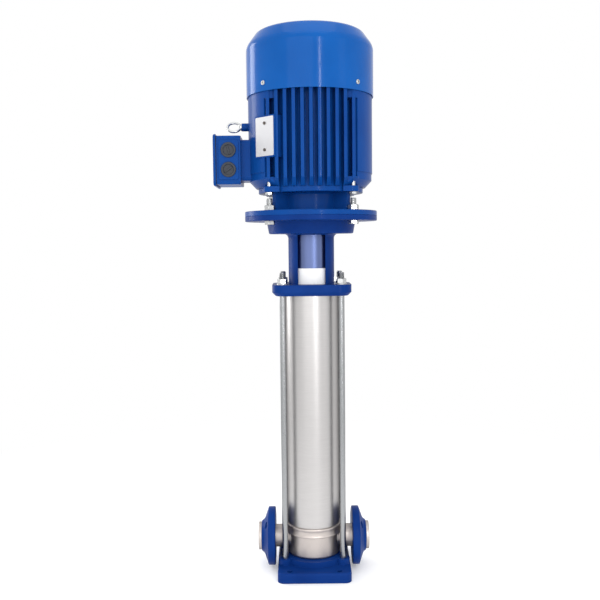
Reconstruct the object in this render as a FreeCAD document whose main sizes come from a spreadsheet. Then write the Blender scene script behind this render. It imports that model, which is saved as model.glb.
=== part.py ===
import FreeCAD, Part
import math
import os
import re
import Sketcher

document = FreeCAD.newDocument("vertical_multistage_pump")

# Driving dimensions in millimetres, degrees where the name says angle
DRIVING = {
    # Base plate
    "base_margin_x": 20,
    "base_margin_y": 36,
    "base_thickness": 26,
    "base_corner_radius": 18,
    "base_edge_radius": 5,
    "base_recess_margin_x": 22,
    "base_recess_margin_y": 34,
    "base_recess_depth": 12,
    "anchor_edge_x": 32,
    "anchor_edge_y": 16.5,
    "anchor_hole_radius": 7,
    "pedestal_margin": 18,
    "pedestal_height": 15,
    # Ports and port casing
    "port_height": 84,
    "port_reach_past_casing": 80,
    "port_pipe_radius": 30.15,
    "port_wall": 2.8,
    "port_cover": 1.15,
    "collar_width": 6.85,
    "collar_thickness": 8,
    "collar_edge_radius": 2,
    "casing_radius": 70,
    "casing_corner_radius": 6,
    "sheet_wall": 2.5,
    "bell_height": 6,
    "bell_skirt": 12.5,
    "drain_height": 62,
    "drain_boss_radius": 14,
    "drain_boss_length": 12,
    "drain_thread_radius": 8,
    "drain_plug_flats": 22,
    "drain_plug_head": 8,
    # Loose flanges
    "loose_flange_radius": 77.5,
    "loose_flange_rim": 20,
    "loose_flange_hub_wall": 16.85,
    "loose_flange_nose_wall": 10.85,
    "loose_flange_length": 37.7,
    "loose_flange_play": 0.3,
    "loose_flange_corner": 3,
    "loose_flange_hub_corner": 2,
    "flange_hole_circle": 120,
    "flange_hole_radius": 9.5,
    # Hydraulic stack
    "stage_count": 12,
    "stage_height": 45,
    "suction_rise": 11.5,
    "top_chamber_height": 75,
    "stage_annulus": 7.5,
    "chamber_wall": 2,
    "cup_floor": 2,
    "cup_mouth_step": 1,
    "cup_corner_radius": 5,
    "impeller_gap": 8,
    "eye_radius": 28.5,
    "eye_wall": 2.5,
    "eye_height": 7,
    "shroud_thickness": 2,
    "vane_height": 8,
    "vane_count": 6,
    "vane_thickness": 2.4,
    "vane_arc_radius": 45,
    "vane_arc_offset": 22,
    "vane_root_inset": 1,
    "vane_tip_inset": 0.5,
    "impeller_hub_radius": 15,
    "impeller_hub_height": 19,
    "impeller_hub_fillet": 3,
    "spacer_radius": 14,
    "guide_hub_gap": 3,
    "guide_vane_gap": 6,
    "guide_disc_step": 4,
    "guide_disc_gap": 3,
    "guide_vane_count": 6,
    "running_gap": 0.3,
    "foot_post_radius": 18,
    "foot_bearing_radius": 15,
    "foot_bearing_length": 22,
    "retainer_slot_height": 36,
    "retainer_slot_rise": 15,
    "retainer_slot_angle": 28,
    "shaft_end_gap": 3,
    "shaft_chamfer": 1,
    # Sleeve, seals and stay bolts
    "o_ring_radius": 1.5,
    "joint_clearance": 0.2,
    "stay_bolt_clear": 22.92,
    "stay_bolt_angle": 34.03,
    "stay_bolt_radius": 8,
    "stay_bolt_thread_depth": 30,
    "stay_bolt_hole_radius": 8.5,
    "stay_bolt_boss_radius": 18,
    "stay_nut_flats": 24,
    "stay_nut_height": 13,
    "stay_bolt_stand_out": 32,
    "stay_washer_radius": 15,
    "stay_washer_thickness": 3,
    # Pump head and its stool
    "head_margin_x": 27,
    "head_margin_y": 28,
    "head_corner_radius": 34,
    "head_thickness": 29,
    "head_chamfer": 9,
    "head_groove_depth": 8,
    "head_bore_radius": 34,
    "stool_radius": 61,
    "stool_wall": 8,
    "stool_root": 5,
    "stool_height": 133,
    "window_width": 72,
    "window_height": 130,
    "hub_radius": 118,
    "hub_taper": 6,
    "hub_height": 33,
    "hub_fillet": 12,
    "hub_edge_radius": 4,
    "hub_hollow_radius": 95,
    "hub_floor": 9,
    "hub_floor_rise": 8,
    "hub_floor_fillet": 6,
    "motor_flange_rim": 25,
    "motor_flange_corner": 2,
    "motor_flange_edge": 1,
    "stool_flange_thickness": 13,
    "pilot_radius": 125,
    "pilot_depth": 5,
    "pilot_gap": 1,
    "vent_offset": 80,
    "vent_thread_radius": 6.5,
    "vent_thread_depth": 16,
    "vent_plug_flats": 19,
    "vent_plug_head": 9,
    "vent_stem_radius": 4.5,
    "vent_stem_height": 8,
    # Shaft seal
    "pump_shaft_radius": 11,
    "bearing_running_gap": 0.05,
    "seal_cover_radius": 48,
    "seal_cover_thickness": 8,
    "seal_cover_gap": 1,
    "seal_edge_radius": 1,
    "seal_seat_radius": 20,
    "seal_seat_bore": 12.5,
    "seal_lip": 2,
    "seal_seat_height": 10,
    "seal_rotor_height": 26,
    "seal_collar": 8,
    "seal_nose": 6,
    "seal_film": 0.05,
    "seal_screw_circle": 82,
    "seal_screw_radius": 3,
    "seal_screw_head_radius": 5,
    "seal_screw_head": 6,
    "seal_screw_depth": 12,
    # Coupling
    "coupling_radius": 40,
    "coupling_split": 2,
    "coupling_pump_grip": 35,
    "coupling_motor_grip": 55,
    "coupling_screw_offset": 29,
    "coupling_screw_radius": 4,
    "coupling_head_radius": 6.5,
    "coupling_head_height": 8,
    "coupling_nut_flats": 13,
    "coupling_nut_height": 6,
    "coupling_pocket_radius": 8,
    "coupling_seat": 20,
    "shaft_gap": 3,
    # Guards and label
    "guard_sheet": 1.5,
    "guard_half_angle": 52,
    "guard_gap": 0.3,
    "label_height": 42,
    "label_thickness": 1,
    # Motor shields and bearings
    "shield_flange_thickness": 13,
    "shield_neck_radius": 87,
    "shield_neck_taper": 3,
    "shield_neck_height": 46,
    "shield_neck_fillet": 6,
    "shield_rim_margin": 8,
    "shield_rim_height": 14,
    "shield_rim_corner": 3,
    "shield_spigot": 8,
    "shield_spigot_wall": 8,
    "shield_rib_count": 4,
    "shield_rib_angle": 45,
    "shield_rib_sink": 5,
    "shield_rib_thickness": 12,
    "shield_rib_reach": 134,
    "shield_shaft_gap": 3,
    "shield_lip": 3,
    "shield_lip_reach": 6,
    "shield_boss_wall": 14,
    "shield_dish_margin": 12,
    "shield_dish_rise": 4,
    "shield_hollow_margin": 8,
    "shield_pilot_wall": 12,
    "shield_hollow_depth": 5,
    "shield_hollow_fillet": 3,
    "shield_plug_angle": 55,
    "shield_plug_rise": 24,
    "shield_plug_radius": 5,
    "shield_plug_depth": 14,
    "shield_plug_flats": 12,
    "shield_plug_head": 6,
    "lug_wall": 20,
    "lug_inward": 26,
    "lug_outward": 15,
    "lug_corner_radius": 19,
    "bearing_outer_radius": 50,
    "bearing_inner_radius": 22.5,
    "bearing_width": 25,
    "bearing_ring_wall": 8,
    "bearing_shield": 1.5,
    "bearing_shield_gap": 1,
    "bearing_edge_radius": 1,
    "bearing_end_gap": 2,
    "ball_count": 8,
    "ball_play": 0.25,
    "fan_shield_height": 30,
    "fan_shield_disc": 12,
    "fan_shield_shaft_gap": 1,
    "fan_shield_boss_wall": 10,
    "fan_shield_boss_edge": 3,
    "fan_shield_boss_foot": 16,
    "fan_shield_boss_fillet": 4,
    "fan_shield_corner": 2,
    "fan_shield_bevel": 10,
    # Motor frame
    "frame_length": 250,
    "frame_bore_radius": 130,
    "barrel_wall": 7,
    "fin_height": 26,
    "fin_sink": 4,
    "fin_pitch": 21.5,
    "fin_tip": 8.5,
    "fin_root": 13,
    "front_fins": 5,
    "side_fins": 4,
    "panel_half_angle": 44,
    "panel_thickness": 6,
    "panel_foot_height": 36,
    "panel_foot_step": 2,
    "panel_chamfer_width": 20,
    "panel_chamfer_height": 20,
    "lower_lug_height": 23,
    "upper_lug_height": 32,
    "eye_boss_radius": 10.5,
    "eye_boss_stand_out": 17,
    "eye_height_over_frame": 163,
    "name_pad_width": 72,
    "name_pad_height": 104,
    "name_pad_stand_out": 0.5,
    "name_pad_rise": 72,
    "name_pad_corner": 3,
    "name_pad_angle": -45,
    # Stator, rotor and motor shaft
    "core_outer_gap": 0.2,
    "stator_bore_radius": 79,
    "air_gap": 0.8,
    "winding_inner_radius": 86,
    "winding_outer_radius": 118,
    "winding_height": 30,
    "winding_corner": 8,
    "core_setback": 40,
    "motor_shaft_radius": 21,
    "motor_stub_length": 110,
    "rotor_seat_radius": 30,
    "fan_seat_radius": 17,
    # Fan and cowl
    "fan_tip_gap": 39.6,
    "fan_hub_radius": 32,
    "fan_height": 45,
    "fan_blades": 8,
    "fan_disc": 4,
    "fan_disc_margin": 30,
    "fan_disc_edge": 2,
    "fan_blade_thickness": 4,
    "fan_blade_sink": 3,
    "fan_lift": 18,
    "cowl_gap": 1.6,
    "cowl_height": 168,
    "cowl_sheet": 2,
    "cowl_shoulder_drop": 60,
    "cowl_shoulder_reach": 45,
    "cowl_shoulder_radius": 30,
    "cowl_corner_radius": 15,
    "cowl_overlap": 14,
    "grille_seat_radius": 96,
    "grille_lap": 8,
    "grille_inner_radius": 30,
    "grille_ring_width": 9,
    "grille_ring_pitch": 13,
    "grille_rings": 5,
    "grille_sectors": 6,
    "grille_rib_angle": 8,
    "cowl_screw_radius": 3,
    "cowl_screw_length": 9,
    "cowl_screw_head_radius": 6,
    "cowl_screw_head": 3,
    "cowl_screw_count": 4,
    "cowl_screw_angle": 45,
    # Flange and shield fasteners
    "flange_bolt_circle": 300,
    "flange_bolt_radius": 8,
    "flange_bolt_hole_radius": 9,
    "flange_nut_flats": 24,
    "flange_nut_height": 13,
    "flange_head_height": 10,
    "flange_bolt_stand_out": 17,
    "shield_bolt_radius": 5,
    "shield_bolt_flats": 17,
    "shield_bolt_head": 7,
    "shield_bolt_depth": 20,
    # Terminal box
    "box_stand_off": 18,
    "box_depth": 62.5,
    "box_half_width": 62,
    "box_rise": 10,
    "box_height": 125,
    "box_corner_radius": 10,
    "box_wall": 5,
    "neck_half_width": 46,
    "neck_rise": 20,
    "neck_height": 106,
    "neck_wall": 10,
    "gasket_thickness": 1.5,
    "lid_thickness": 7,
    "lid_edge_radius": 4,
    "lid_margin": 4,
    "entry_pad_margin": 6,
    "entry_pad_height": 3,
    "entry_pad_corner": 6,
    "entry_offset": 31,
    "entry_spacing": 50,
    "entry_thread_radius": 16,
    "entry_flange_radius": 19.5,
    "entry_flange_height": 4,
    "entry_dish_wall": 3,
    "entry_dish_floor": 1,
    "lid_screw_radius": 2.5,
    "lid_screw_depth": 14,
    "lid_screw_head_radius": 4.5,
    "lid_screw_head": 3,
    "lid_screw_pocket": 0.5,
    "lid_screw_inset": 6,
    "terminal_block_length": 60,
    "terminal_block_width": 28,
    "terminal_block_height": 18,
    "terminal_block_corner": 3,
    "terminal_stud_radius": 3,
    "terminal_stud_height": 13,
    "terminal_stud_sink": 1,
    "terminal_stud_pitch": 20,
    "terminal_row_pitch": 16,
    # Lifting eye and plates
    "eye_ring_radius": 17,
    "eye_wire_radius": 3.2,
    "eye_tilt_angle": 50,
    "eye_collar_radius": 9.5,
    "eye_collar_height": 4,
    "eye_thread_radius": 5,
    "eye_thread_depth": 20,
    "plate_width": 65,
    "plate_height": 97,
    "plate_thickness": 1,
    "plate_corner_radius": 2,
    "rivet_radius": 2,
    "rivet_depth": 6,
    "rivet_head_radius": 4,
    "rivet_head": 1.5,
    "rivet_spacing": 66,

    # Sides of the pump as angles from its right side
    "right_angle": 0,
    "rear_angle": 90,
    "left_angle": 180,
    "front_angle": 270,

    # Length by which a cut runs past the faces it opens
    "cut_over": 1,
}

# Heights and radii that follow from the driving dimensions
DERIVED = {
    "floor_level": "base_thickness + pedestal_height",
    "pedestal_radius": "casing_radius + pedestal_margin",
    "stay_bolt_x": "(casing_radius + stay_bolt_clear) * cos(stay_bolt_angle)",
    "stay_bolt_y": "(casing_radius + stay_bolt_clear) * sin(stay_bolt_angle)",
    "base_half_length": "stay_bolt_x + base_margin_x",
    "base_half_width": "pedestal_radius + base_margin_y",
    "port_bore_radius": "port_pipe_radius - port_wall",
    "collar_radius": "port_pipe_radius + collar_width",
    "bell_bottom": "port_height + port_bore_radius + port_cover",
    "casing_top": "bell_bottom + bell_height",
    "socket_radius": "casing_radius + joint_clearance",
    "bell_radius": "socket_radius + sheet_wall",
    "casing_bore": "casing_radius - sheet_wall",
    "port_face_reach": "casing_radius + port_reach_past_casing",
    "collar_back": "port_face_reach - collar_thickness",
    "sleeve_bottom": "bell_bottom + 2 * o_ring_radius",
    "chamber_radius": "casing_bore - stage_annulus",
    "impeller_radius": "cup_radius - impeller_gap",
    "guide_disc_radius": "cup_radius - guide_disc_step",
    "stack_bottom": "casing_top + suction_rise",
    "stack_top": "stack_bottom + stage_count * stage_height",
    "head_bottom": "stack_top + top_chamber_height",
    "sleeve_top": "head_bottom + head_groove_depth - 2 * o_ring_radius",
    "head_top": "head_bottom + head_thickness",
    "stool_bore": "stool_radius - stool_wall",
    "hub_bottom": "head_top + stool_height",
    "hub_top": "hub_bottom + hub_height",
    "motor_face": "hub_top + stool_flange_thickness",
    "motor_flange_radius": "flange_bolt_circle / 2 + motor_flange_rim",
    "head_half_length": "stay_bolt_x + head_margin_x",
    "head_half_width": "stay_bolt_y + head_margin_y",
    "ring_inner_radius": "socket_radius - 2 * o_ring_radius - joint_clearance",
    "flange_top": "motor_face + shield_flange_thickness",
    "rim_bottom": "flange_top + shield_neck_height",
    "frame_bottom": "rim_bottom + shield_rim_height",
    "frame_top": "frame_bottom + frame_length",
    "cowl_bottom": "frame_top - cowl_overlap",
    "cowl_top": "cowl_bottom + cowl_height",
    "cowl_slope_length": "sqrt(cowl_shoulder_drop ^ 2 + cowl_shoulder_reach ^ 2)",
    "motor_shaft_bottom": "motor_face - motor_stub_length",
    "pump_shaft_top": "motor_shaft_bottom - shaft_gap",
    "coupling_bottom": "pump_shaft_top - coupling_pump_grip",
    "coupling_top": "motor_shaft_bottom + coupling_motor_grip",
    "eye_outer": "eye_radius + eye_wall",
    "shroud_low": "eye_height",
    "vane_low": "eye_height + shroud_thickness",
    "shroud_high": "vane_low + vane_height",
    "impeller_top": "shroud_high + shroud_thickness",
    "hub_end": "shroud_low + impeller_hub_height",
    "guide_low": "impeller_top + guide_disc_gap",
    "cup_radius": "chamber_radius - chamber_wall",
    "cup_bottom": "floor_level + sheet_wall",
    "post_top": "cup_bottom + cup_floor + foot_bearing_length + shaft_end_gap",
    "foot_bearing_low": "post_top - foot_bearing_length",
    "pump_shaft_bottom": "foot_bearing_low",
    "seal_seat_low": "head_top - seal_seat_height",
    "seal_rotor_top": "seal_seat_low - seal_film",
    "guard_radius": "stool_bore - guard_gap",
    "shield_rim_radius": "frame_bore_radius + shield_rim_margin",
    "lower_bearing_low": "rim_bottom - bearing_width - bearing_end_gap",
    "outer_race": "bearing_outer_radius - bearing_ring_wall",
    "inner_race": "bearing_inner_radius + bearing_ring_wall",
    "shield_land": "inner_race + bearing_shield_gap",
    "ball_circle": "(outer_race + inner_race) / 2",
    "ball_radius": "(outer_race - inner_race) / 2 - ball_play",
    "barrel_radius": "frame_bore_radius + barrel_wall",
    "fin_radius": "barrel_radius + fin_height",
    "name_pad_reach": "fin_radius + name_pad_stand_out",
    "eye_boss_reach": "fin_radius + eye_boss_stand_out",
    "fan_shield_top": "frame_top + fan_shield_height",
    "upper_bearing_low": "frame_top + bearing_end_gap",
    "core_low": "frame_bottom + core_setback",
    "core_length": "frame_length - 2 * core_setback",
    "core_high": "core_low + core_length",
    "stator_radius": "frame_bore_radius - core_outer_gap",
    "rotor_radius": "stator_bore_radius - air_gap",
    "fan_low": "fan_shield_top + fan_lift",
    "cowl_inner_radius": "fin_radius + cowl_gap",
    "cowl_radius": "cowl_inner_radius + cowl_sheet",
    "cowl_screw_level": "frame_top + fan_shield_disc / 2",
    "fan_radius": "cowl_inner_radius - fan_tip_gap",
    "grille_top": "cowl_top - cowl_sheet",
    "box_bottom": "frame_bottom + box_rise",
    "box_top": "box_bottom + box_height",
    "neck_bottom": "frame_bottom + neck_rise",
    "neck_top": "neck_bottom + neck_height",
    "box_middle": "(box_bottom + box_top) / 2",
    "box_seat_reach": "fin_radius + box_stand_off",
    "box_reach": "box_seat_reach + box_depth",
    "gasket_reach": "box_reach + gasket_thickness",
    "lid_reach": "gasket_reach + lid_thickness",
    "entry_reach": "box_seat_reach + entry_offset",
    "eye_level": "frame_bottom + eye_height_over_frame",
    "name_pad_bottom": "frame_bottom + name_pad_rise",
    "name_level": "name_pad_bottom + name_pad_height / 2",
    "lug_offset": "(frame_bore_radius + lug_wall) / sqrt(2)",
    "flange_bolt_offset": "flange_bolt_circle / 2 / sqrt(2)",
    "flange_hole_offset": "flange_hole_circle / 2 / sqrt(2)",
    "seal_screw_offset": "seal_screw_circle / 2 / sqrt(2)",
}

TOLERANCE = 0.01
WORD = re.compile(r"[a-z][a-z_]*")
sheet = document.addObject("Spreadsheet::Sheet", "sizes")
nodes = {}


def fill_sheet():
    """Write each driving dimension in the sheet as a named cell."""
    for row, (alias, amount) in enumerate(DRIVING.items(), start=1):
        sheet.set("A%d" % row, alias.replace("_", " "))
        sheet.set("B%d" % row, str(amount))
        sheet.setAlias("B%d" % row, alias)
    document.recompute()


def bind(text):
    """Turn plain names into an expression on the sheet's cells."""
    def swap(match):
        word = match.group()
        if word in DRIVING:
            return "sizes." + word
        if word in DERIVED:
            return "(" + bind(DERIVED[word]) + ")"
        return word
    return WORD.sub(swap, str(text))


def value(text):
    return float(sheet.evalExpression(bind(text)))


def whole(text):
    return int(round(value(text)))


# Sketch shapes: each returns a function that draws itself in a sketch
def tie(sketch, rule, text):
    """Add a dimension to a sketch and bind it to the sheet."""
    index = sketch.addConstraint(rule)
    sketch.setExpression("Constraints[%d]" % index, bind(text))


def place_point(sketch, geometry, point, x, y):
    """Hold a sketch point at x, y from the sketch's origin."""
    for kind, axis, text in (("DistanceX", -2, x), ("DistanceY", -1, y)):
        distance = value(text)
        if abs(distance) < 1e-9:
            sketch.addConstraint(Sketcher.Constraint("PointOnObject", geometry, point, axis))
        else:
            tie(sketch, Sketcher.Constraint(kind, -1, 1, geometry, point, distance), text)


def circle(x, y, radius):
    def draw(sketch):
        centre = FreeCAD.Vector(value(x), value(y), 0)
        ring = sketch.addGeometry(Part.Circle(centre, FreeCAD.Vector(0, 0, 1), value(radius)), False)
        place_point(sketch, ring, 3, x, y)
        tie(sketch, Sketcher.Constraint("Radius", ring, value(radius)), radius)
    return draw


def outline(*corners):
    """Closed outline through (x, y) corners; a third entry rounds that corner."""
    def draw(sketch):
        spots = [FreeCAD.Vector(value(corner[0]), value(corner[1]), 0) for corner in corners]
        starts = []
        ends = []
        arcs = []
        for index, corner in enumerate(corners):
            spot = spots[index]
            if len(corner) == 2:
                starts.append(spot)
                ends.append(spot)
                arcs.append(None)
                continue
            back = (spots[index - 1] - spot).normalize()
            ahead = (spots[(index + 1) % len(spots)] - spot).normalize()
            half = back.getAngle(ahead) / 2
            radius = value(corner[2])
            starts.append(spot + back * (radius / math.tan(half)))
            ends.append(spot + ahead * (radius / math.tan(half)))
            centre = spot + (back + ahead).normalize() * (radius / math.sin(half))
            arcs.append((centre, radius, ahead.cross(back).z < 0))
        sides = []
        for index in range(len(corners)):
            side = Part.LineSegment(ends[index], starts[(index + 1) % len(corners)])
            sides.append(sketch.addGeometry(side, False))
        for index, corner in enumerate(corners):
            side_in = sides[index - 1]
            side_out = sides[index]
            if arcs[index] is None:
                sketch.addConstraint(Sketcher.Constraint("Coincident", side_in, 2, side_out, 1))
                place_point(sketch, side_out, 1, corner[0], corner[1])
                continue
            centre, radius, clockwise = arcs[index]
            first, last = (ends[index], starts[index]) if clockwise else (starts[index], ends[index])
            turn = [math.atan2(spot.y - centre.y, spot.x - centre.x) for spot in (first, last)]
            full = Part.Circle(centre, FreeCAD.Vector(0, 0, 1), radius)
            arc = sketch.addGeometry(Part.ArcOfCircle(full, turn[0], turn[1]), False)
            near_in, near_out = (2, 1) if clockwise else (1, 2)
            sketch.addConstraint(Sketcher.Constraint("Tangent", side_in, 2, arc, near_in))
            sketch.addConstraint(Sketcher.Constraint("Tangent", side_out, 1, arc, near_out))
            tie(sketch, Sketcher.Constraint("Radius", arc, radius), corner[2])
            mark = sketch.addGeometry(Part.Point(spots[index]), True)
            sketch.addConstraint(Sketcher.Constraint("PointOnObject", mark, 1, side_in))
            sketch.addConstraint(Sketcher.Constraint("PointOnObject", mark, 1, side_out))
            place_point(sketch, mark, 1, corner[0], corner[1])
    return draw


def rectangle(x_low, y_low, x_high, y_high, rounding=None):
    corners = [(x_low, y_low), (x_high, y_low), (x_high, y_high), (x_low, y_high)]
    if rounding is not None:
        corners = [corner + (rounding,) for corner in corners]
    return outline(*corners)


def hexagon(x, y, flats):
    """Six sides round x, y, with the given width across flats."""
    corners = []
    for step in range(6):
        reach = "(%s) / sqrt(3) * " % flats
        corners.append(("(%s) + %scos(%d)" % (x, reach, 60 * step),
                        "(%s) + %ssin(%d)" % (y, reach, 60 * step)))
    return outline(*corners)


def sector(inner, outer, start, end):
    """Band of a ring round the origin between two angles in degrees."""
    def draw(sketch):
        first = math.radians(value(start))
        last = math.radians(value(end))
        arcs = []
        for radius in (inner, outer):
            full = Part.Circle(FreeCAD.Vector(), FreeCAD.Vector(0, 0, 1), value(radius))
            arc = sketch.addGeometry(Part.ArcOfCircle(full, first, last), False)
            sketch.addConstraint(Sketcher.Constraint("Coincident", arc, 3, -1, 1))
            tie(sketch, Sketcher.Constraint("Radius", arc, value(radius)), radius)
            arcs.append(arc)
        for point, angle, text in ((1, first, start), (2, last, end)):
            ray = FreeCAD.Vector(math.cos(angle), math.sin(angle), 0)
            side = sketch.addGeometry(Part.LineSegment(ray * value(inner), ray * value(outer)), False)
            sketch.addConstraint(Sketcher.Constraint("Coincident", side, 1, arcs[0], point))
            sketch.addConstraint(Sketcher.Constraint("Coincident", side, 2, arcs[1], point))
            sketch.addConstraint(Sketcher.Constraint("PointOnObject", -1, 1, side))
            tie(sketch, Sketcher.Constraint("Angle", side, angle), text)
    return draw


def four_spots(x, y):
    """The four corners of a rectangle round the origin."""
    return [(sign_x + "(%s)" % x, sign_y + "(%s)" % y)
            for sign_x in ("", "-") for sign_y in ("", "-")]


# Part Design helpers
def new_body(label, several=False):
    body = document.addObject("PartDesign::Body", label)
    body.Label = label
    body.AllowCompound = several
    return body


def keep(label, item):
    """Name a finished sub-part; it becomes a node."""
    item.Label = label
    nodes[label] = item
    return item


def origin_feature(body, role):
    return [item for item in body.Origin.OriginFeatures if item.Role == role][0]


def sketch_on(body, plane, lift, shapes, rise="0"):
    """Sketch on an origin plane, moved by lift off it and by rise up it."""
    sketch = body.newObject("Sketcher::SketchObject", body.Label + "_sketch")
    sketch.AttachmentSupport = [(origin_feature(body, plane), "")]
    sketch.MapMode = "FlatFace"
    sketch.setExpression(".AttachmentOffset.Base.z", bind(lift))
    sketch.setExpression(".AttachmentOffset.Base.y", bind(rise))
    for draw in shapes:
        draw(sketch)
    return sketch


def add_feature(body, kind, sketch):
    feature = body.newObject("PartDesign::" + kind, body.Label + "_" + kind.lower())
    feature.Profile = sketch
    body.Tip = feature
    return feature


def pad(body, shapes, length, plane="XY_Plane", lift="0", rise="0"):
    feature = add_feature(body, "Pad", sketch_on(body, plane, lift, shapes, rise))
    feature.setExpression("Length", bind(length))
    return feature


def cut(body, shapes, depth, plane="XY_Plane", lift="0", rise="0"):
    """Pocket that runs from lift along the plane's normal."""
    feature = add_feature(body, "Pocket", sketch_on(body, plane, lift, shapes, rise))
    feature.Reversed = True
    feature.setExpression("Length", bind(depth))
    return feature


def turn(body, shapes, kind="Revolution", axis="V_Axis", rise="0"):
    """Revolve or groove a half section drawn on the XZ plane."""
    sketch = sketch_on(body, "XZ_Plane", "0", shapes, rise)
    feature = add_feature(body, kind, sketch)
    feature.ReferenceAxis = (sketch, [axis])
    feature.Angle = 360
    return feature


def repeat_round(body, features, count):
    feature = body.newObject("PartDesign::PolarPattern", body.Label + "_ring")
    feature.Originals = features
    feature.Axis = (origin_feature(body, "Z_Axis"), [""])
    feature.Angle = 360
    feature.Occurrences = whole(count)
    feature.setExpression("Occurrences", bind(count))
    body.Tip = feature
    return feature


def face_outward(feature, angle, reach, rise):
    """Move a feature's upright sketch to a radius, facing out at an angle from the front."""
    sketch = feature.Profile[0]
    turned = FreeCAD.Rotation(FreeCAD.Vector(0, 1, 0), value(angle))
    sketch.AttachmentOffset = FreeCAD.Placement(FreeCAD.Vector(), turned)
    sketch.setExpression(".AttachmentOffset.Base.x", bind("(%s) * sin(%s)" % (reach, angle)))
    sketch.setExpression(".AttachmentOffset.Base.y", bind(rise))
    sketch.setExpression(".AttachmentOffset.Base.z", bind("(%s) * cos(%s)" % (reach, angle)))
    return feature


def dress(body, kind, amount, chooser):
    """Fillet or chamfer the edges that the chooser accepts."""
    document.recompute()
    edges = body.Tip.Shape.Edges
    names = ["Edge%d" % (index + 1) for index, edge in enumerate(edges) if chooser(edge)]
    base = body.Tip
    feature = body.newObject("PartDesign::" + kind, body.Label + "_" + kind.lower())
    feature.Base = (base, names)
    feature.setExpression("Radius" if kind == "Fillet" else "Size", bind(amount))
    body.Tip = feature
    return feature


def at_level(level, reach):
    """Chooser for edges at one height that lie outside a radius."""
    def accept(edge):
        box = edge.BoundBox
        flat = abs(box.ZMin - value(level)) < TOLERANCE and box.ZLength < TOLERANCE
        spot = edge.valueAt(edge.FirstParameter)
        return flat and math.hypot(spot.x, spot.y) > value(reach)
    return accept


def copies(label, master, places):
    """Group of separate solids, each a link to one master piece."""
    links = []
    for x, y, z in places:
        link = document.addObject("App::Link", label + "_copy")
        link.LinkedObject = master
        for axis, text in (("x", x), ("y", y), ("z", z)):
            link.setExpression(".Placement.Base." + axis, bind(text))
        links.append(link)
    group = document.addObject("Part::Compound", label)
    group.Links = links
    return keep(label, group)


def plain(kind, name, sizes, place=("0", "0", "0")):
    """Part primitive with its sizes and place bound to the sheet."""
    item = document.addObject("Part::" + kind, name)
    for prop, text in sizes.items():
        item.setExpression(prop, bind(text))
    for axis, text in zip("xyz", place):
        item.setExpression(".Placement.Base." + axis, bind(text))
    return item


# Base and port casing
def make_base_plate():
    body = new_body("base_plate")
    half_x, half_y = "base_half_length", "base_half_width"
    pad(body, [rectangle("-" + half_x, "-" + half_y, half_x, half_y, "base_corner_radius")],
        "base_thickness")
    dress(body, "Fillet", "base_edge_radius", at_level("base_thickness", "0"))
    pad(body, [circle("0", "0", "pedestal_radius")], "pedestal_height", lift="base_thickness")
    bosses = [circle(x, y, "stay_bolt_boss_radius") for x, y in stay_bolt_spots()]
    for boss in bosses:
        pad(body, [boss], "pedestal_height", lift="base_thickness")
    holes = [circle(x, y, "stay_bolt_radius") for x, y in stay_bolt_spots()]
    cut(body, holes, "stay_bolt_thread_depth", lift="floor_level - stay_bolt_thread_depth")
    anchors = four_spots(half_x + " - anchor_edge_x", half_y + " - anchor_edge_y")
    cut(body, [circle(x, y, "anchor_hole_radius") for x, y in anchors], "base_thickness")
    recess_x, recess_y = half_x + " - base_recess_margin_x", half_y + " - base_recess_margin_y"
    cut(body, [rectangle("-(%s)" % recess_x, "-(%s)" % recess_y, recess_x, recess_y,
                         "base_corner_radius")],
        "base_recess_depth")
    keep("base_plate", body)


def stay_bolt_spots():
    return four_spots("stay_bolt_x", "stay_bolt_y")


def make_port_casing():
    body = new_body("port_casing")
    turn(body, [outline(("0", "floor_level"),
                        ("casing_radius", "floor_level", "casing_corner_radius"),
                        ("casing_radius", "bell_bottom - bell_skirt"),
                        ("bell_radius", "bell_bottom - bell_skirt", "sheet_wall / 2"),
                        ("bell_radius", "casing_top"), ("0", "casing_top"))])
    for side in ("", "-"):
        turn(body, [outline((side + "casing_radius / 2", "0"),
                            (side + "port_face_reach", "0"),
                            (side + "port_face_reach", "collar_radius", "collar_edge_radius"),
                            (side + "collar_back", "collar_radius"),
                            (side + "collar_back", "port_pipe_radius"),
                            (side + "casing_radius / 2", "port_pipe_radius"))],
             axis="H_Axis", rise="port_height")
    pad(body, [circle("0", "0", "drain_boss_radius")],
        "casing_radius + drain_boss_length", plane="XZ_Plane",
        lift="-(casing_radius + drain_boss_length)", rise="drain_height")
    turn(body, [outline(("0", "cup_bottom"),
                        ("casing_bore", "cup_bottom", "casing_corner_radius - sheet_wall"),
                        ("casing_bore", "bell_bottom"), ("socket_radius", "bell_bottom"),
                        ("socket_radius", "casing_top + cut_over"), ("0", "casing_top + cut_over"))],
         kind="Groove")
    cut(body, [circle("0", "port_height", "port_bore_radius")], "2 * (port_face_reach + cut_over)",
        plane="YZ_Plane", lift="-(port_face_reach + cut_over)")
    cut(body, [circle("0", "0", "drain_thread_radius")], "drain_boss_length + 4 * sheet_wall",
        plane="XZ_Plane", lift="-(casing_radius + drain_boss_length + cut_over)", rise="drain_height")
    keep("port_casing", body)


def make_drain_plug():
    body = new_body("drain_plug")
    outer = "casing_radius + drain_boss_length"
    pad(body, [hexagon("0", "0", "drain_plug_flats")], "drain_plug_head", plane="XZ_Plane",
        lift="-(%s + drain_plug_head)" % outer, rise="drain_height")
    pad(body, [circle("0", "0", "drain_thread_radius")], "drain_boss_length", plane="XZ_Plane",
        lift="-(%s)" % outer, rise="drain_height")
    keep("drain_plug", body)


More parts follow.
